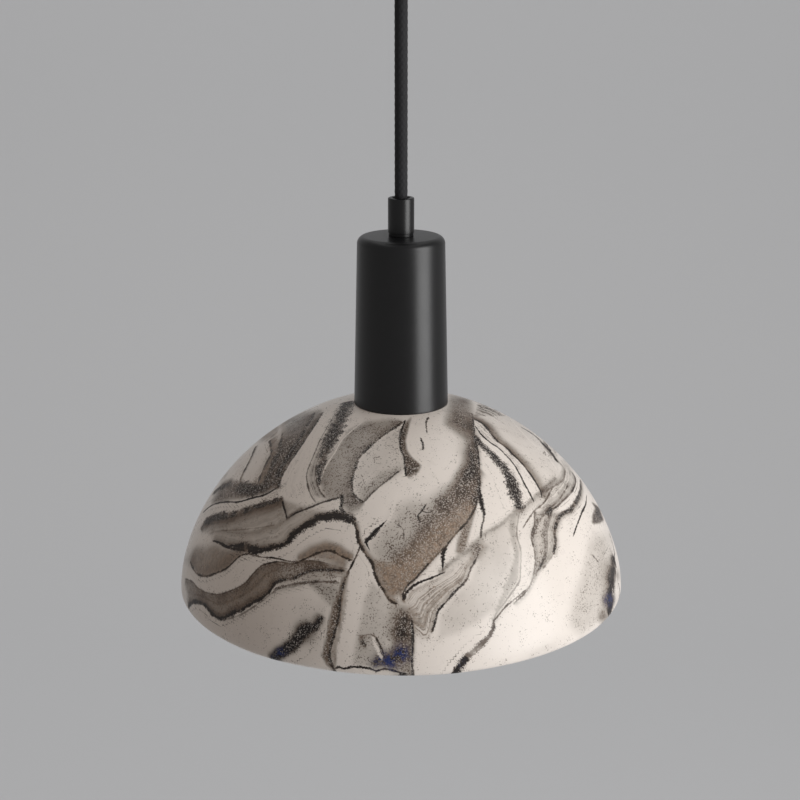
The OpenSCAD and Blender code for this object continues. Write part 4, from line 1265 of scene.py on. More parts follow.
class Clay:
    """The figure in the clay, worked out for every vertex of the shade."""

    # Sets of veins, three to an attribute
    SETS = 9
    # How much wider every vein is laid than its list says
    WEIGHT = 1.4
    # Millimetres by which a vein is wider on the inner skin, where its edges ran
    RUN = 1.2

    def __init__(self):
        stage = staging()
        own = sizes()
        self.across, self.up_power = own.curve_across, own.curve_up
        self.lip_z = RIM_Z + own.shade_wall / 2
        self.apex = dome_apex()
        self.focal = stage.focal
        self.eye = np.array((stage.camera_x, stage.camera_y, RIM_Z + stage.camera_z))
        self.right = np.array((1.0, 0.0, 0.0))
        self.ahead = np.array((0.0, math.cos(stage.tilt), -math.sin(stage.tilt)))
        self.up = np.array((0.0, math.sin(stage.tilt), math.cos(stage.tilt)))

    def depth_in(self, points):
        """Below 0 inside the dome, 0 on it and above 0 outside it."""
        r = np.hypot(points[..., 0], points[..., 1]) / RIM_R
        z = np.maximum(points[..., 2] - self.lip_z, 0) / self.apex
        return r ** self.across + z ** self.up_power - 1

    def normals(self, points):
        r = np.maximum(np.hypot(points[:, 0], points[:, 1]), 1e-6)
        z = np.maximum(points[:, 2] - self.lip_z, 0)
        outward = self.across * (r / RIM_R) ** (self.across - 1) / RIM_R
        upward = self.up_power * (z / self.apex) ** (self.up_power - 1) / self.apex
        found = np.stack((outward * points[:, 0] / r, outward * points[:, 1] / r, upward), axis=1)
        return found / np.linalg.norm(found, axis=1, keepdims=True)

    def picture(self, points):
        """Where the photograph's camera sees these points, in pixels."""
        from_eye = points - self.eye
        depth = from_eye @ self.ahead
        across = PICTURE / 2 + self.focal * (from_eye @ self.right) / depth
        down = PICTURE / 2 - self.focal * (from_eye @ self.up) / depth
        return np.stack((across, down), axis=1)

    def surface(self, pixels):
        """The points of the dome's near side that the camera sees at these pixels."""
        across = (pixels[:, 0] - PICTURE / 2)[:, None] / self.focal * self.right
        upward = (PICTURE / 2 - pixels[:, 1])[:, None] / self.focal * self.up
        rays = across + upward + self.ahead
        # Steps from before the dome to behind it find the first place inside, and halving the way in
        reach = RIM_R * 1.3
        steps = np.linalg.norm(self.eye[:2]) + np.linspace(-reach, reach, 70)
        best = np.full(len(pixels), steps[0])
        least = np.full(len(pixels), 1e9)
        inside = np.zeros(len(pixels), dtype=bool)
        for t in steps:
            value = self.depth_in(self.eye + rays * t)
            better = (value < least) & ~inside
            best[better], least[better] = t, value[better]
            inside |= value < 0
        near = best - (steps[1] - steps[0])
        far = best.copy()
        for _ in range(18):
            middle = (near + far) / 2
            out = self.depth_in(self.eye + rays * middle[:, None]) > 0
            near, far = np.where(out, middle, near), np.where(out, far, middle)
        hit = np.where(inside, far, best)
        return self.eye + rays * hit[:, None]

    def fold_back(self, points):
        """Pixels of the figure at each point; the far side is the near side's figure, drawn askew."""
        pixels = self.picture(points)
        to_eye = self.eye - points
        to_eye /= np.linalg.norm(to_eye, axis=1, keepdims=True)
        facing = np.sum(self.normals(points) * to_eye, axis=1)
        hidden = np.clip(-facing / 0.5, 0, 1)
        hidden = hidden * hidden * (3 - 2 * hidden)
        turn = np.arctan2(points[:, 0], points[:, 1])
        high = (points[:, 2] - RIM_Z) / (SEAT_Z - RIM_Z)
        # How many pixels the hidden side's figure is moved across and down
        pixels[:, 0] += hidden * (62 * np.sin(2 * turn + 1.1) + 34 * np.cos(3 * turn + 4 * high))
        pixels[:, 1] += hidden * (30 * np.sin(turn * 2.5 + 2.4) + 22 * np.cos(5 * high + turn) + 14)
        return pixels

    def curve(self, points):
        """A smooth line on the dome through a vein's pixels, with a point every millimetre or less."""
        ends = [points[0], *points, points[-1]]
        line = smooth_route([(x, y, 0) for x, y in ends], 10)
        pixels = np.array([(p.x, p.y) for p in line])
        found = self.surface(pixels)
        gaps = np.linalg.norm(np.diff(found, axis=0), axis=1)
        run = np.concatenate(([0], np.cumsum(gaps)))
        keep = np.concatenate(([True], gaps > 1e-7))
        found, run = found[keep], run[keep]
        even = np.linspace(0, run[-1], max(8, int(run[-1] / (0.9 * MM))))
        return np.stack([np.interp(even, run, found[:, k]) for k in range(3)], axis=1), even

    def beside(self, vein, places):
        """Signed distance of each place from a vein, its share along it, and how far past its ends."""
        line, run = self.curve(vein.points)
        ahead = np.gradient(line, run, axis=0)
        ahead /= np.linalg.norm(ahead, axis=1, keepdims=True)
        side = np.cross(self.normals(line), ahead)
        nearest = np.zeros(len(places), dtype=int)
        least = np.full(len(places), 1e9)
        for k, here in enumerate(line):
            square = np.sum((places - here) ** 2, axis=1)
            closer = square < least
            nearest[closer], least[closer] = k, square[closer]
        offset = places - line[nearest]
        lateral = np.sum(offset * side[nearest], axis=1) / MM
        along = run[nearest] + np.sum(offset * ahead[nearest], axis=1)
        past = np.maximum(np.maximum(-along, along - run[-1]), 0) / MM
        return lateral, np.clip(along / run[-1], 0, 1), past

    def figure(self, places, pixels, loose):
        """Every field of the clay at these places."""
        count = len(places)
        self.clay = np.zeros((count, 3))
        self.more = np.zeros((count, 3))
        self.flow = np.zeros(count)
        self.veins = np.full((count, self.SETS), 9.0)
        self.force = np.zeros((count, self.SETS))
        for order, panel in enumerate(PANELS):
            self.lay_panel(panel, pixels, order * 23)
        for bloom in BLOOMS:
            self.lay_bloom(bloom, pixels)
        for vein in VEINS:
            self.lay_vein(vein, places, loose)

    def from_line(self, points, pixels, closed=False):
        """How far pixels are from a line, and, where it is closed, which are inside."""
        corners = np.array(points, dtype=float)
        ends = np.roll(corners, -1, axis=0) if closed else corners[1:]
        inside = np.zeros(len(pixels), dtype=bool)
        away = np.full(len(pixels), 1e9)
        for a, b in zip(corners, ends):
            edge = b - a
            share = np.clip((pixels - a) @ edge / max(edge @ edge, 1e-9), 0, 1)
            away = np.minimum(away, np.linalg.norm(pixels - a - share[:, None] * edge, axis=1))
            crosses = (a[1] > pixels[:, 1]) != (b[1] > pixels[:, 1])
            meet = a[0] + (pixels[:, 1] - a[1]) * edge[0] / (edge[1] or 1e-9)
            inside ^= crosses & (pixels[:, 0] < meet)
        return away, inside

    def lay_panel(self, panel, pixels, start):
        """Fills an area; its bands run on from start, so that no two areas share them."""
        border = panel.side + tuple(reversed(panel.other_side))
        low, high = np.min(border, axis=0) - panel.feather, np.max(border, axis=0) + panel.feather
        near = np.nonzero(np.all((pixels > low) & (pixels < high), axis=1))[0]
        away, inside = self.from_line(border, pixels[near], closed=True)
        cover = np.clip(0.5 + np.where(inside, away, -away) / panel.feather / 2, 0, 1)[:, None]
        clay = np.array((panel.tone, panel.grain, panel.warm))
        self.clay[near] += (clay - self.clay[near]) * cover
        more = np.array((panel.banding, 0, panel.clean))
        self.more[near] += (more - self.more[near]) * cover
        if panel.other_side:
            one, _ = self.from_line(panel.side, pixels[near])
            other, _ = self.from_line(panel.other_side, pixels[near])
            rows = near[inside]
            self.flow[rows] = start + (one / np.maximum(one + other, 1e-6))[inside] * panel.lines
            self.more[near, 0] = np.where(inside, panel.banding * np.clip(away / 3, 0, 1), 0)

    def lay_bloom(self, bloom, pixels):
        """Darkens what lies near a bloom's centre, and lays its cobalt."""
        away = np.linalg.norm(pixels - np.array(bloom.centre), axis=1) / bloom.size
        cover = np.exp(-(away ** 2) * 1.1)
        self.clay[:, 0] = 1 - (1 - self.clay[:, 0]) * (1 - bloom.tone * cover)
        self.clay[:, 1] = np.maximum(self.clay[:, 1], bloom.grain * np.minimum(1, cover * 2))
        self.more[:, 1] = np.maximum(self.more[:, 1], bloom.blue * cover)
        self.more[:, 2] *= 1 - cover

    def lay_vein(self, vein, places, loose):
        """Lays a vein, wider and fainter where loose is 1."""
        reach = max(vein.left[0], vein.right[0], 3) * 2.2 + vein.width * self.WEIGHT + self.RUN * 1.5
        line, _ = self.curve(vein.points)
        low, high = line.min(axis=0) - reach * MM, line.max(axis=0) + reach * MM
        near = np.nonzero(np.all((places > low) & (places < high), axis=1))[0]
        lateral, share, past = self.beside(vein, places[near])
        run = loose[near]
        width = vein.width * self.WEIGHT * np.interp(share, (0, 0.5, 1), vein.swell) + run * self.RUN
        distance = np.hypot(lateral, past)
        ends = np.clip(1 - past / (1.5 + run * 3), 0, 1)

        # The fading sides and the vein's own stain
        side_reach = np.where(lateral > 0, vein.left[0], vein.right[0])
        side_tone = np.where(lateral > 0, vein.left[1], vein.right[1])
        fade = np.exp(-((distance / np.maximum(side_reach, 0.01)) ** 2) * 1.4) * ends
        full = np.interp(share, (0, 0.5, 1), vein.swell) / max(vein.swell)
        fade = np.where(side_reach > 0, fade, 0) * (0.25 + 0.75 * full)
        core = np.clip(1.6 - np.abs(lateral) / np.maximum(width, 0.1) * 0.8, 0, 1) * ends
        old = self.clay[near]
        self.clay[near] = np.stack(
            (
                1 - (1 - old[:, 0]) * (1 - side_tone * fade),
                np.maximum(old[:, 1], vein.grain * np.maximum(fade, core)),
                old[:, 2] + (vein.warm - old[:, 2]) * np.maximum(fade, core * 0.5),
            ),
            axis=1,
        )
        self.more[near, 2] *= 1 - np.maximum(fade, core)

        # Its crisp line goes to the set in which it meets the fewest others
        footprint = np.maximum(3 * width, 1.7)
        force = np.clip((footprint + 1.3 - np.abs(lateral)) / 1.3, 0, 1) * ends
        touched = force > 0
        crowd = [np.sum(np.abs(self.force[near[touched], k])) for k in range(self.SETS)]
        chosen = int(np.argmin(crowd))
        stronger = touched & (force * abs(vein.dark) >= np.abs(self.force[near, chosen]))
        rows = near[stronger]
        narrow = np.clip(1 - past[stronger] / (2.5 + run[stronger] * 4), 0.15, 1)
        self.veins[rows, chosen] = np.clip(lateral[stronger] / (width[stronger] * narrow), -9, 9)
        self.force[rows, chosen] = (force * (1 - run * 0.35))[stronger] * vein.dark * 1.1


# Pieces


def dome_rise(share):
    """Height of the dome's curve, as a share of its apex, at a share of its radius."""
    own = sizes()
    return (1 - share ** own.curve_across) ** (1 / own.curve_up)


def dome_apex():
    """Height of the dome's curve above the middle of its lip."""
    own = sizes()
    return (SEAT_Z - RIM_Z - own.shade_wall / 2) / dome_rise(own.seat_r / RIM_R)


def dome_side(rim, apex, end_r, steps):
    """A side of the dome's outline in even steps, from the lip up to a radius."""
    own = sizes()
    lip = RIM_Z + own.shade_wall / 2
    dense = []
    for k in range(401):
        turn = math.pi / 2 * k / 400
        r = rim * math.cos(turn) ** (2 / own.curve_across)
        if r < end_r:
            break
        dense.append((r, lip + apex * math.sin(turn) ** (2 / own.curve_up)))
    dense.append((end_r, lip + apex * dome_rise(end_r / rim)))
    run = [0.0]
    for a, b in zip(dense, dense[1:]):
        run.append(run[-1] + math.dist(a, b))
    even = np.linspace(0, run[-1], steps + 1)
    rs = np.interp(even, run, [p[0] for p in dense])
    zs = np.interp(even, run, [p[1] for p in dense])
    return list(zip(rs.tolist(), zs.tolist()))


class PieceOperator:
    """What every operator here shares."""

    bl_options = {"REGISTER", "UNDO"}


class PENDANT_OT_cord(PieceOperator, bpy.types.Operator):
    """Braid the free cord and the two clamped ends"""

    bl_idname = "pendant.cord"
    bl_label = "Cord"

    def execute(self, context):
        own = sizes()
        upper = CANOPY_MOUTH + own.mouth_in
        lower = CUP_MOUTH - own.mouth_in
        free = self.braided("cord_braid", upper, lower)
        dress(free, braid(), "cord", ["cord"])
        for node, body in (("cord_head", "ceiling_mount"), ("cord_tail", "pendant")):
            clamped = self.braided(node + "_braid", top(node), foot(node))
            dress(clamped, braid(), body, [node])
        return {"FINISHED"}

    def braided(self, name, upper, lower):
        """A round core whose skin is worked into strands that pass over and under each other."""
        own = sizes()
        carriers, sides = 8, 96
        rings = int((upper - lower) / (0.3 * MM))
        line = [Vector((0, 0, upper + (lower - upper) * k / rings)) for k in range(rings + 1)]
        piece = tube(name, line, CORD_R, sides)
        points = coordinates(piece)
        turn = np.arctan2(points[:, 1], points[:, 0]) / math.tau
        run = points[:, 2] / own.braid_pitch
        rising = carriers * (turn + run)
        falling = carriers * (turn - run)
        over = (np.floor(rising) + np.floor(falling)) % 2 < 1
        across = np.where(over, rising, falling) % 1
        along = np.where(over, falling, rising) % 1
        crown = np.sin(math.pi * across) ** 0.6 * (0.55 + 0.45 * np.sin(math.pi * along))
        ends = (points[:, 2] > upper - 1e-6) | (points[:, 2] < lower + 1e-6)
        crown = np.where(ends, 0.0, crown)
        scale = 1 - own.braid_depth / CORD_R * (1 - crown)
        points[:, :2] *= scale[:, None]
        move_vertices(piece, points)
        # The crown's height, from which the material paints shade in the grooves and sheen on the crowns
        add_attribute(piece, "braid_height", "FLOAT", crown)
        add_attribute(piece, "braid_yarn", "FLOAT", np.where(over, rising, falling))
        smooth(piece, 60)
        return piece


class PENDANT_OT_shade(PieceOperator, bpy.types.Operator):
    """Throw the ceramic dome and work out the figure in its clay"""

    bl_idname = "pendant.shade"
    bl_label = "Shade"

    # Steps of the outline and round the axis, which keep the shade under 200,000 triangles
    OUTER_STEPS = 110
    INNER_STEPS = 42
    TURN_STEPS = 560

    def execute(self, context):
        own = sizes()
        lip = own.shade_wall / 2
        apex = dome_apex()
        outer = dome_side(RIM_R, apex, own.seat_r, self.OUTER_STEPS)
        wall = own.shade_wall
        inner = dome_side(RIM_R - wall, apex - wall, own.under_r, self.INNER_STEPS)
        under = inner[-1][1]
        ease = 0.5 * MM
        outline = (
            outer[:-1]
            + arc(own.seat_r - ease, SEAT_Z - ease, ease, 60, 90, 3)
            + spaced((own.seat_r - 2 * ease, SEAT_Z), (own.hole_r + ease, SEAT_Z), 1)
            + arc(own.hole_r + ease, SEAT_Z - ease, ease, 90, 180, 3)
            + arc(own.hole_r + ease, under + ease, ease, 180, 270, 3)
            + list(reversed(inner))
            + arc(RIM_R - lip, RIM_Z + lip, lip, 180, 360, 12)[1:-1]
        )
        piece = revolve("shade_stoneware", outline, self.TURN_STEPS)
        self.settle_rim(piece)
        clay = Clay()
        points = coordinates(piece)
        places = self.skin_of(points, clay)
        pixels = clay.fold_back(places)
        hidden = np.linalg.norm(pixels - clay.picture(places), axis=1) > 0.01
        away = np.sum(clay.normals(places) * (clay.eye - places), axis=1) < 0
        moved = hidden | away
        places[moved] = clay.surface(pixels[moved])
        # 0 on the outer skin and 1 on the inner one
        loose = np.clip(-clay.depth_in(points) / 0.04 - 1, 0, 1)
        clay.figure(places, pixels, loose)
        add_attribute(piece, "clay", "FLOAT_VECTOR", clay.clay)
        add_attribute(piece, "clay_more", "FLOAT_VECTOR", clay.more)
        add_attribute(piece, "flow", "FLOAT", clay.flow)
        for k, pair in enumerate("abc"):
            three = slice(3 * k, 3 * k + 3)
            add_attribute(piece, "veins_" + pair, "FLOAT_VECTOR", clay.veins[:, three])
            add_attribute(piece, "force_" + pair, "FLOAT_VECTOR", clay.force[:, three])
        smooth(piece, 50)
        dress(piece, stoneware(), "shade", ["shade"])
        return {"FINISHED"}

    def settle_rim(self, piece):
        """The rim rises and falls a little, and the wall breathes, as on a thrown pot."""
        wave = sizes().rim_wave
        points = coordinates(piece)
        low = np.clip(1 - (points[:, 2] - RIM_Z) / (16 * MM), 0, 1)
        turn = np.arctan2(points[:, 1], points[:, 0])
        lift = np.sin(3 * turn + 0.6) + 0.6 * np.sin(7 * turn + 2) + 0.35 * np.sin(15 * turn)
        most = 1 + 0.6 + 0.35
        points[:, 2] += wave * low * (lift + most) / (2 * most)
        r = np.hypot(points[:, 0], points[:, 1])
        body = np.clip((r - 32 * MM) / (20 * MM), 0, 1)
        breath = [noise.noise(Vector(p) * 30) for p in points]
        draw = 1 - body * (np.array(breath) + 1) * 0.22 * MM / np.maximum(r, 1e-6)
        points[:, :2] *= draw[:, None]
        move_vertices(piece, points)

    def skin_of(self, points, clay):
        """The place on the dome's outer face that each vertex takes its clay from."""
        z = np.clip(points[:, 2], clay.lip_z, SEAT_Z)
        up = np.clip((z - clay.lip_z) / clay.apex, 0, 1)
        r_out = RIM_R * (1 - up ** clay.up_power) ** (1 / clay.across)
        r = np.maximum(np.hypot(points[:, 0], points[:, 1]), 1e-9)
        on_top = (points[:, 2] > SEAT_Z - 1 * MM) & (r < sizes().seat_r)
        r_out = np.where(on_top, r, r_out)
        places = points.copy()
        places[:, 0] *= r_out / r
        places[:, 1] *= r_out / r
        places[:, 2] = z
        return places


class PENDANT_OT_cup(PieceOperator, bpy.types.Operator):
    """Spin the cup and turn the grip that it hangs from"""

    bl_idname = "pendant.cup"
    bl_label = "Cup and grip"

    def execute(self, context):
        own = sizes()
        wall, bend, edge = own.cup_wall, own.cup_round, 0.3 * MM
        low_r, top_r = radius("socket_cup"), own.cup_top_r
        hole = own.stem_r + STEM_GAP
        # Its foot stays a hair above the clay, so that the two faces don't cross
        foot_z = SEAT_Z + 0.03 * MM
        outline = (
            arc(low_r - edge, foot_z + edge, edge, -90, 0, 3)
            + spaced((low_r, foot_z + 2 * edge), (top_r, CUP_TOP - bend), 10)
            + arc(top_r - bend, CUP_TOP - bend, bend, 0, 90, 12)
            + [(hole + edge, CUP_TOP), (hole, CUP_TOP - edge), (hole, CUP_TOP - wall)]
            + arc(top_r - bend, CUP_TOP - bend, bend - wall, 90, 0, 6)
            + [(low_r - wall, foot_z + edge), (low_r - wall + edge, foot_z)]
        )
        cup = revolve("cup_spun", outline, 160)
        smooth(cup, 40)
        dress(cup, black_metal(), "pendant", ["socket_cup"])
        grip = grip_piece("cup_grip_turned", CUP_MOUTH, -1)
        dress(grip, black_metal(), "pendant", ["cup_grip"])
        return {"FINISHED"}


def grip_piece(name, mouth, away):
    """A cord grip: its mouth at one height, and its barrel and stem on the away side of it."""
    own = sizes()
    r, bore, stem, wide = own.grip_r, own.bore_r, own.stem_r, own.mouth_r
    deep = own.mouth_in + own.lean_gap
    ease, groove = 0.55 * MM, 0.3 * MM
    end = own.grip_h + own.stem_l
    drops = (
        arc(r - ease, ease, ease, 270, 360, 5)
        + [(r, own.grip_h - 1.7 * MM), (r - groove, own.grip_h - 1.5 * MM)]
        + [(r - groove, own.grip_h - 0.15 * MM), (r - groove - 0.15 * MM, own.grip_h)]
        + [(stem, own.grip_h)]
        + spaced((stem, own.grip_h + 0.2 * MM), (stem, end - 0.3 * MM), 60)
        + [(stem - 0.3 * MM, end), (bore + 0.3 * MM, end), (bore, end - 0.3 * MM)]
        + [(bore, deep), (wide, deep), (wide, 0.5 * MM), (wide + 0.15 * MM, 0.2 * MM)]
        + [(wide + 0.5 * MM, 0)]
    )
    piece = revolve(name, [(from_axis, mouth + away * drop) for from_axis, drop in drops], 96)
    low, high = sorted((mouth + away * (own.grip_h + 0.4 * MM), mouth + away * end))
    cut_thread(piece, STEM_PITCH, 0.45 * MM, low, high, stem - 0.2 * MM, stem + 0.1 * MM)
    smooth(piece, 40)
    return piece


class PENDANT_OT_canopy(PieceOperator, bpy.types.Operator):
    """Press the ceiling canopy and turn its grip"""

    bl_idname = "pendant.canopy"
    bl_label = "Canopy"

    def execute(self, context):
        own = sizes()
        r, wall, bend, edge = radius("canopy"), own.canopy_wall, own.canopy_round, 0.35 * MM
        hole = own.stem_r + STEM_GAP
        floor = CANOPY_FLOOR
        outline = (
            [(r - wall + edge, 0), (r - edge, 0), (r - edge * 0.3, -edge * 0.3), (r, -edge)]
            + spaced((r, -1.2 * MM), (r, floor + bend), 8)
            + arc(r - bend, floor + bend, bend, 0, -90, 14)
            + spaced((r - bend - 1 * MM, floor), (hole + edge, floor), 6)
            + [(hole + edge, floor), (hole, floor + edge), (hole, floor + wall)]
            + spaced((hole + 2 * MM, floor + wall), (r - bend - 1 * MM, floor + wall), 5)
            + arc(r - bend, floor + bend, bend - wall, -90, 0, 8)
            + spaced((r - wall, floor + bend + 1 * MM), (r - wall, -edge), 6)
            + [(r - wall, -edge)]
        )
        canopy = revolve("canopy_pressed", outline, 200)
        self.drill(canopy)
        smooth(canopy, 40)
        dress(canopy, black_metal(), "ceiling_mount", ["canopy"])
        grip = grip_piece("canopy_grip_turned", CANOPY_MOUTH, 1)
        dress(grip, black_metal(), "ceiling_mount", ["canopy_grip"])
        return {"FINISHED"}

    def drill(self, canopy):
        """The two side screws' holes."""
        low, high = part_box("canopy_screws")
        z = (low.z + high.z) / 2
        hole_r = 2.25 * MM
        bpy.ops.object.select_all(action="DESELECT")
        bpy.ops.mesh.primitive_cylinder_add(
            vertices=48, radius=hole_r, depth=3 * radius("canopy"),
            location=(0, 0, z), rotation=(0, math.pi / 2, 0),
        )
        cutter = bpy.context.object
        cut = canopy.modifiers.new("Screw holes", "BOOLEAN")
        cut.object = cutter
        cut.operation = "DIFFERENCE"
        cut.solver = "EXACT"
        bpy.context.view_layer.objects.active = canopy
        bpy.ops.object.modifier_apply(modifier=cut.name)
        bpy.data.objects.remove(cutter)


class PENDANT_OT_ring(PieceOperator, bpy.types.Operator):
    """Mould the shade ring with its ribs, and the gasket above it"""

    bl_idname = "pendant.ring"
    bl_label = "Shade ring and gasket"

    RIBS = 24
    RIB_R = 0.9 * MM
    # How far a rib's axis lies inside the hub's skin
    RIB_SINK = 0.1 * MM

    def execute(self, context):
        own = sizes()
        outer, hub = radius("shade_ring"), own.ring_hub_r
        bore = SKIRT_BORE
        bottom = foot("shade_ring")
        flange = RING_Z - own.ring_flange
        ease = 0.6 * MM
        outline = (
            [(bore + ease, RING_Z), (outer - ease, RING_Z)]
            + arc(outer - ease, RING_Z - ease, ease, 90, 0, 4)
            + arc(outer - ease, flange + ease, ease, 0, -90, 4)
            + arc(hub + ease, flange - ease, ease, 90, 180, 4)
            + arc(hub - ease, bottom + ease, ease, 0, -90, 5)
            + [(bore + 1.2 * MM, bottom), (bore + 0.9 * MM, bottom + 0.3 * MM)]
            + [(bore + 0.5 * MM, bottom + 0.5 * MM)]
            + arc(bore + 0.5 * MM, bottom + 1 * MM, 0.5 * MM, -90, -180, 3)
            + [(bore, RING_Z - ease)]
        )
        ring = revolve("ring_moulded", outline, 192)
        self.add_ribs(ring, hub, bottom + 0.9 * MM, flange)
        smooth(ring, 40)
        dress(ring, phenolic(), "shade_ring", ["shade_ring"])
        self.gasket()
        return {"FINISHED"}

    def finger_rib(self, tall):
        """A rib on the axis, rounded at its lower end."""
        bpy.ops.object.select_all(action="DESELECT")
        bpy.ops.mesh.primitive_cylinder_add(vertices=20, radius=self.RIB_R, depth=tall)
        rib = bpy.context.object
        bpy.ops.object.mode_set(mode="EDIT")
        bpy.ops.mesh.select_mode(type="FACE")
        bpy.ops.mesh.select_all(action="DESELECT")
        bpy.ops.object.mode_set(mode="OBJECT")
        for face in rib.data.polygons:
            face.select = face.normal.z < -0.9
        bpy.ops.object.mode_set(mode="EDIT")
        bpy.ops.mesh.bevel(offset=0.5 * MM, segments=4, affect="EDGES")
        bpy.ops.mesh.select_mode(type="VERT")
        bpy.ops.object.mode_set(mode="OBJECT")
        return rib

    def add_ribs(self, ring, hub, low, high):
        """Copies of one finger rib round the hub, joined to it."""
        first = self.finger_rib(high - low)
        bpy.ops.object.select_all(action="DESELECT")
        for k in range(self.RIBS):
            turn = math.tau * k / self.RIBS
            away = hub - self.RIB_SINK
            place = Vector((away * math.cos(turn), away * math.sin(turn), (low + high) / 2))
            rib = first.copy()
            rib.data = first.data.copy()
            rib.data.transform(Matrix.Translation(place))
            bpy.context.scene.collection.objects.link(rib)
            rib.select_set(True)
        bpy.data.objects.remove(first)
        ring.select_set(True)
        bpy.context.view_layer.objects.active = ring
        bpy.ops.object.join()

    def gasket(self):
        low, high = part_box("shade_gasket")
        r, bore, ease = high.y, SKIRT_BORE, 0.3 * MM
        outline = (
            arc(r - ease, high.z - ease, ease, 90, 0, 3)
            + arc(r - ease, low.z + ease, ease, 0, -90, 3)
            + arc(bore + ease, low.z + ease, ease, -90, -180, 3)
            + arc(bore + ease, high.z - ease, ease, 180, 90, 3)
        )
        piece = revolve("gasket_cut", outline, 128)
        smooth(piece, 50)
        dress(piece, silicone(), "shade", ["shade_gasket"])


class PENDANT_OT_lampholder(PieceOperator, bpy.types.Operator):
    """Mould the lampholder's body and roll its screw shell"""

    bl_idname = "pendant.lampholder"
    bl_label = "Lampholder"

    def execute(self, context):
        shell = self.rolled_shell()
        dress(shell, nickel(), "pendant", ["screw_shell"])
        body = softened("lampholder_body", 0.25 * MM)
        dress(body, phenolic(), "pendant", ["lampholder_body"])
        return {"FINISHED"}

    def rolled_shell(self):
        """The screw shell, rolled to the bulb's thread."""
        low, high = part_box("screw_shell")
        r, sheet, flange = high.y, 0.5 * MM, 8 * MM
        steps = int((high.z - low.z) / (0.4 * MM))
        outline = (
            spaced((r, low.z), (r, high.z - sheet), steps)
            + [(r, high.z), (flange, high.z), (flange, high.z - sheet)]
            + spaced((r - sheet, high.z - sheet), (r - sheet, low.z), steps)
            + [(r - sheet, low.z)]
        )
        piece = revolve("screw_shell_rolled", outline, 96)
        cut_thread(piece, BULB_PITCH, 0.12 * MM, low.z, high.z - 2 * sheet, r - 2 * sheet)
        smooth(piece, 50)
        return piece


class PENDANT_OT_bulb(PieceOperator, bpy.types.Operator):
    """Blow the opal bulb and roll its screw base"""

    bl_idname = "pendant.bulb"
    bl_label = "Bulb"

    def execute(self, context):
        own = sizes()
        low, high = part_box("bulb_glass")
        globe, neck, curve = high.y, own.neck_r, own.neck_curve
        base_low, base_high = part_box("bulb_screw_base")
        shoulder = base_low.z - 0.3 * MM
        middle = low.z + globe
        rise = math.sqrt((globe + curve) ** 2 - (neck + curve) ** 2)
        turn = math.degrees(math.atan2(rise, neck + curve))
        wall = 0.9 * MM
        stub = base_high.y - 0.55 * MM
        side = (
            arc(0, middle, globe, -90, turn, 44)[1:]
            + arc(neck + curve, middle + rise, curve, 180 + turn, 180, 16)
        )
        inside = (
            arc(0, middle, globe - wall, -90, turn, 24)[1:]
            + arc(neck + curve, middle + rise, curve + wall, 180 + turn, 180, 8)
        )
        outline = (
            [(0, low.z)] + side + [(neck, shoulder - 1 * MM)]
            + arc(neck - 0.8 * MM, shoulder - 0.8 * MM, 0.8 * MM, 0, 90, 4)
            + [(stub, shoulder), (stub, high.z), (stub - wall, high.z), (stub - wall, shoulder - wall)]
            + list(reversed(inside)) + [(0, low.z + wall)]
        )
        glass = revolve("bulb_opal", outline, 128, closed=False)
        smooth(glass, 50)
        dress(glass, opal(), "bulb", ["bulb_glass"])
        self.base(base_low.z, base_high.z, base_high.y)
        return {"FINISHED"}

    def base(self, low, high, r):
        sheet = 0.4 * MM
        steps = int((high - low) / (0.3 * MM))
        outline = (
            spaced((r, low), (r, high - 1 * MM), steps)
            + arc(r - 1 * MM, high - 1 * MM, 1 * MM, 0, 90, 4)
            + [(r - 1 * MM - sheet, high), (r - 1 * MM - sheet, high - sheet)]
            + [(r - sheet, high - 1.2 * MM)]
            + spaced((r - sheet, high - 1.6 * MM), (r - sheet, low), 12)
            + [(r - sheet, low)]
        )
        piece = revolve("bulb_base_rolled", outline, 96)
        cut_thread(piece, BULB_PITCH, 0.75 * MM, low + 3 * MM, high - 1 * MM, r - 0.2 * MM)
        smooth(piece, 60)
        dress(piece, nickel(), "bulb", ["bulb_screw_base"])


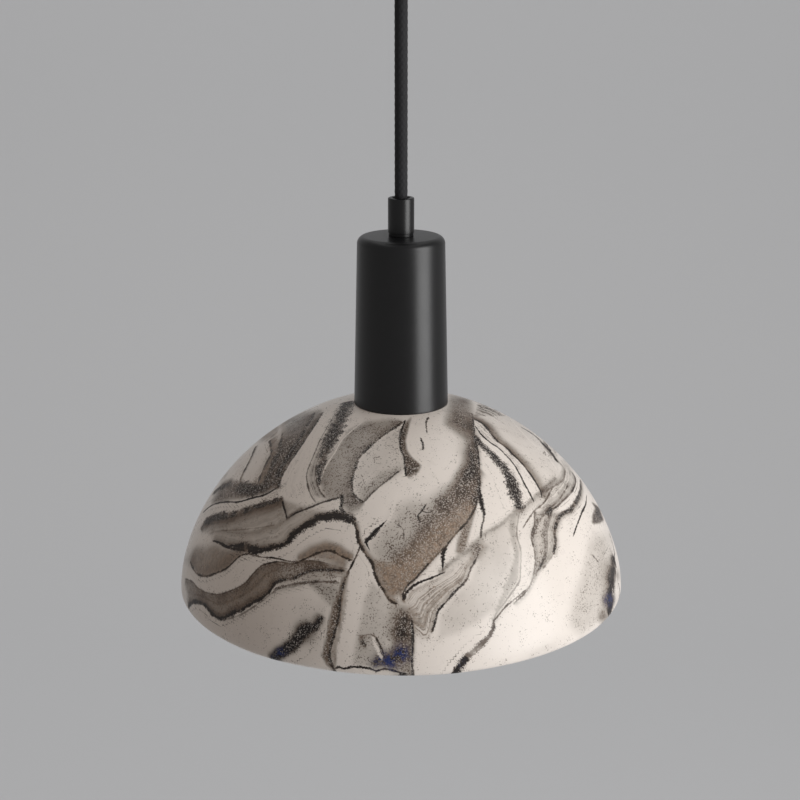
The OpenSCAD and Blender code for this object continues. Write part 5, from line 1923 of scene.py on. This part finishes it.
class PENDANT_OT_wiring(PieceOperator, bpy.types.Operator):
    """Run the conductors in the canopy and in the cup"""

    bl_idname = "pendant.wiring"
    bl_label = "Wiring"

    # In millimetres, as the wires' points are: a wire's radius, how far from the cord's axis its
    # three wires lie, and the gap between two poles of the terminal block
    WIRE_R = 1.1
    LAY_R = 2 * WIRE_R / math.sqrt(3) + 0.08
    POLE_GAP = 9.0
    SIDES = 20

    def execute(self, context):
        self.canopy_wires()
        self.cup_wires()
        return {"FINISHED"}

    def run(self, name, points, material, body, node, slot):
        line = smooth_route([Vector(p) * MM for p in points], 8)
        piece = tube(name, line, self.WIRE_R * MM, self.SIDES)
        smooth(piece, 60)
        dress(piece, material, body, [node])

    def canopy_wires(self):
        start = top("cord_head") / MM
        block_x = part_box("terminal_block")[0].x / MM
        level = top("canopy_live_wire") / MM - self.WIRE_R
        rise = level - start
        kinds = (
            (-1, "canopy_live_wire", brown_sleeve(), "brown_pvc"),
            (0, "canopy_neutral_wire", pale_sleeve(), "white_pvc"),
            (1, "canopy_earth_wire", striped_sleeve(), "green_pvc"),
        )
        for pole, node, material, slot in kinds:
            turn = math.tau * pole / 3
            x, y = self.LAY_R * math.cos(turn), self.LAY_R * math.sin(turn)
            pole_y = pole * self.POLE_GAP
            points = [
                (x, y, start),
                (x, y, start + 0.15 * rise),
                (x + 0.5, y * 1.1, start + 0.45 * rise),
                (x + 2.6, y * 1.5, start + 0.88 * rise),
                (0.55 * block_x, 0.5 * y + 0.6 * pole_y, level),
                (block_x - 0.8, pole_y, level),
                (block_x + 2, pole_y, level),
                (block_x + 7, pole_y, level),
            ]
            self.run(node + "_sleeved", points, material, "ceiling_mount", node, slot)

    def cup_wires(self):
        start = foot("cord_tail") / MM
        holder = top("lampholder_body") / MM
        strip = foot("live_wire") / MM
        ring = self.LAY_R
        drop = start - holder
        for side, turn, node, material, slot in (
            (-1, 1, "live_wire", brown_sleeve(), "brown_pvc"),
            (1, -1, "neutral_wire", pale_sleeve(), "white_pvc"),
        ):
            x, y = side * ring * 0.5, ring * math.cos(math.radians(30))
            points = [
                (x, y, start),
                (x, y, start - 0.04 * drop),
                (x + 0.3, y + 0.5, start - 0.18 * drop),
                (1.5, 5, start - 0.47 * drop),
                (4, 9.6, start - 0.82 * drop),
                (5.4, 10.6, holder),
                (5.4, 10.6, strip),
            ]
            points = [(turn * x, turn * y, z) for x, y, z in points]
            self.run(node + "_sleeved", points, material, "pendant", node, slot)
        end = foot("earth_wire") / MM
        drop = start - end
        points = [
            (ring, 0, start),
            (ring, 0, start - 0.12 * drop),
            (ring + 0.6, 0.3, start - 0.35 * drop),
            (4.2, 2.2, start - 0.6 * drop),
            (7.8, 4.6, start - 0.7 * drop),
            (9.4, 5.4, end + 0.6),
            (9.4, 5.4, end),
        ]
        self.run("earth_wire_sleeved", points, striped_sleeve(), "pendant", "earth_wire", "green_pvc")


class PENDANT_OT_fittings(PieceOperator, bpy.types.Operator):
    """Ease the corners of the strap, the block, the nuts, the washers and the carrier, and finish them, the
    screws and the small metal parts
    """

    bl_idname = "pendant.fittings"
    bl_label = "Strap, block, nuts and screws"

    def execute(self, context):
        eased = (
            ("mounting_strap", 0.25, zinc, "ceiling_mount", "zinc_steel"),
            ("terminal_block", 0.35, nylon, "ceiling_mount", "nylon"),
            ("canopy_grip_nut", 0.2, brass, "ceiling_mount", "brass"),
            ("canopy_grip_washer", 0.15, zinc, "ceiling_mount", "zinc_steel"),
            ("holder_carrier", 0.2, zinc, "pendant", "zinc_steel"),
            ("cup_nut", 0.2, brass, "pendant", "brass"),
            ("cup_washer", 0.15, zinc, "pendant", "zinc_steel"),
        )
        for node, width, material, body, slot in eased:
            piece = softened(node, width * MM)
            dress(piece, material(), body, [node])
        plain = {
            "canopy_screws": black_metal,
            "canopy_grip_clamp_screw": black_metal,
            "cup_grip_clamp_screw": black_metal,
            "earth_screw": green_lacquer,
            "carrier_earth_screw": green_lacquer,
            "terminal_tubes": brass,
            "terminal_clamp_screws": zinc,
            "block_screws": zinc,
            "carrier_screws": zinc,
            "stripped_ends": copper,
            "centre_contact": brass,
            "live_terminal": brass,
            "neutral_terminal": nickel,
            "holder_terminal_screws": brass,
            "bulb_base_insulator": black_glass,
            "bulb_contact": solder,
        }
        for node, material in plain.items():
            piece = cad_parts[node]
            piece.data.materials.clear()
            piece.data.materials.append(material())
        return {"FINISHED"}


class PENDANT_OT_stage(PieceOperator, bpy.types.Operator):
    """Set the backdrop, the lights and the photograph's camera"""

    bl_idname = "pendant.stage"
    bl_label = "Stage"

    def execute(self, context):
        self.backdrop()
        self.lights()
        self.camera()
        return {"FINISHED"}

    def backdrop(self):
        """A floor that turns up into a wall behind the light."""
        floor, ceiling, front, behind = -1.1, 4.0, -5.0, 2.4
        bend, half = 0.8, 6.0
        piece = point_mesh("backdrop", Vector((-half, front, floor)))
        turns = [math.pi / 2 * k / 12 for k in range(13)]
        route = [(behind - bend + bend * math.sin(a), floor + bend - bend * math.cos(a)) for a in turns]
        route.append((behind, ceiling))
        y, z = front, floor
        for next_y, next_z in route:
            step = (0, next_y - y, next_z - z)
            bpy.ops.mesh.extrude_vertices_move(TRANSFORM_OT_translate={"value": step})
            y, z = next_y, next_z
        bpy.ops.mesh.select_all(action="SELECT")
        bpy.ops.mesh.extrude_edges_move(TRANSFORM_OT_translate={"value": (2 * half, 0, 0)})
        bpy.ops.object.mode_set(mode="OBJECT")
        smooth(piece, 40)
        piece.data.materials.append(stage_paint())

    def area(self, name, power, place, target, size):
        """A rectangular lamp that faces its target."""
        lamp = bpy.data.lights.new(name, "AREA")
        lamp.shape = "RECTANGLE"
        lamp.size, lamp.size_y = size
        lamp.energy = power
        made = bpy.data.objects.new(name, lamp)
        made.location = place
        made.rotation_euler = (Vector(target) - Vector(place)).to_track_quat("-Z", "Y").to_euler()
        bpy.context.scene.collection.objects.link(made)

    def lights(self):
        stage = staging()
        self.area(
            "key_light", stage.key_power, place=(1.05, -0.62, -0.1), target=(0, 0, -0.22), size=(0.8, 1.2)
        )
        self.area(
            "floor_light", stage.floor_power, place=(0, 0.6, 2.6), target=(0, 1.2, -1.1), size=(3, 3)
        )
        world = bpy.data.worlds.new("Studio")
        world.use_nodes = True
        fill = world.node_tree.nodes["Background"]
        fill.inputs["Color"].default_value = (*stage.fill_tint, 1)
        fill.inputs["Strength"].default_value = stage.fill
        plain_look(world.node_tree, "World Output", "ShaderNodeBackground", stage.surround, 1)
        bpy.context.scene.world = world

    def camera(self):
        stage = staging()
        view = bpy.data.cameras.new("photo_camera")
        view.sensor_width = 36.0
        view.lens = stage.focal / PICTURE * view.sensor_width
        made = bpy.data.objects.new("photo_camera", view)
        made.location = (stage.camera_x, stage.camera_y, RIM_Z + stage.camera_z)
        made.rotation_euler = (math.pi / 2 - stage.tilt, 0, 0)
        bpy.context.scene.collection.objects.link(made)
        bpy.context.scene.camera = made
        bpy.context.scene.view_settings.view_transform = "Standard"


class PENDANT_PT_sidebar(bpy.types.Panel):
    """Lists the pieces in the sidebar"""

    bl_label = "Pendant light"
    bl_idname = "PENDANT_PT_sidebar"
    bl_space_type = "VIEW_3D"
    bl_region_type = "UI"
    bl_category = "Pendant"

    def draw(self, context):
        for operator in OPERATORS:
            self.layout.operator(operator.bl_idname)
        for group in (sizes(), colours(), staging()):
            box = self.layout.box()
            for name in group.__annotations__:
                box.prop(group, name)


OPERATORS = (
    PENDANT_OT_stage,
    PENDANT_OT_cord,
    PENDANT_OT_shade,
    PENDANT_OT_cup,
    PENDANT_OT_canopy,
    PENDANT_OT_ring,
    PENDANT_OT_lampholder,
    PENDANT_OT_bulb,
    PENDANT_OT_wiring,
    PENDANT_OT_fittings,
)
GROUPS = {
    "pendant_sizes": PendantSizes,
    "pendant_colours": PendantColours,
    "pendant_stage": PendantStage,
}


def register():
    for group in GROUPS.values():
        bpy.utils.register_class(group)
    for name, group in GROUPS.items():
        setattr(bpy.types.Scene, name, bpy.props.PointerProperty(type=group))
    for operator in OPERATORS:
        bpy.utils.register_class(operator)
    bpy.utils.register_class(PENDANT_PT_sidebar)


def unregister():
    bpy.utils.unregister_class(PENDANT_PT_sidebar)
    for operator in reversed(OPERATORS):
        bpy.utils.unregister_class(operator)
    for name, group in reversed(GROUPS.items()):
        delattr(bpy.types.Scene, name)
        bpy.utils.unregister_class(group)


def main():
    register()
    for operator in OPERATORS:
        group, name = operator.bl_idname.split(".")
        getattr(getattr(bpy.ops, group), name)()


if __name__ == "__main__":
    main()
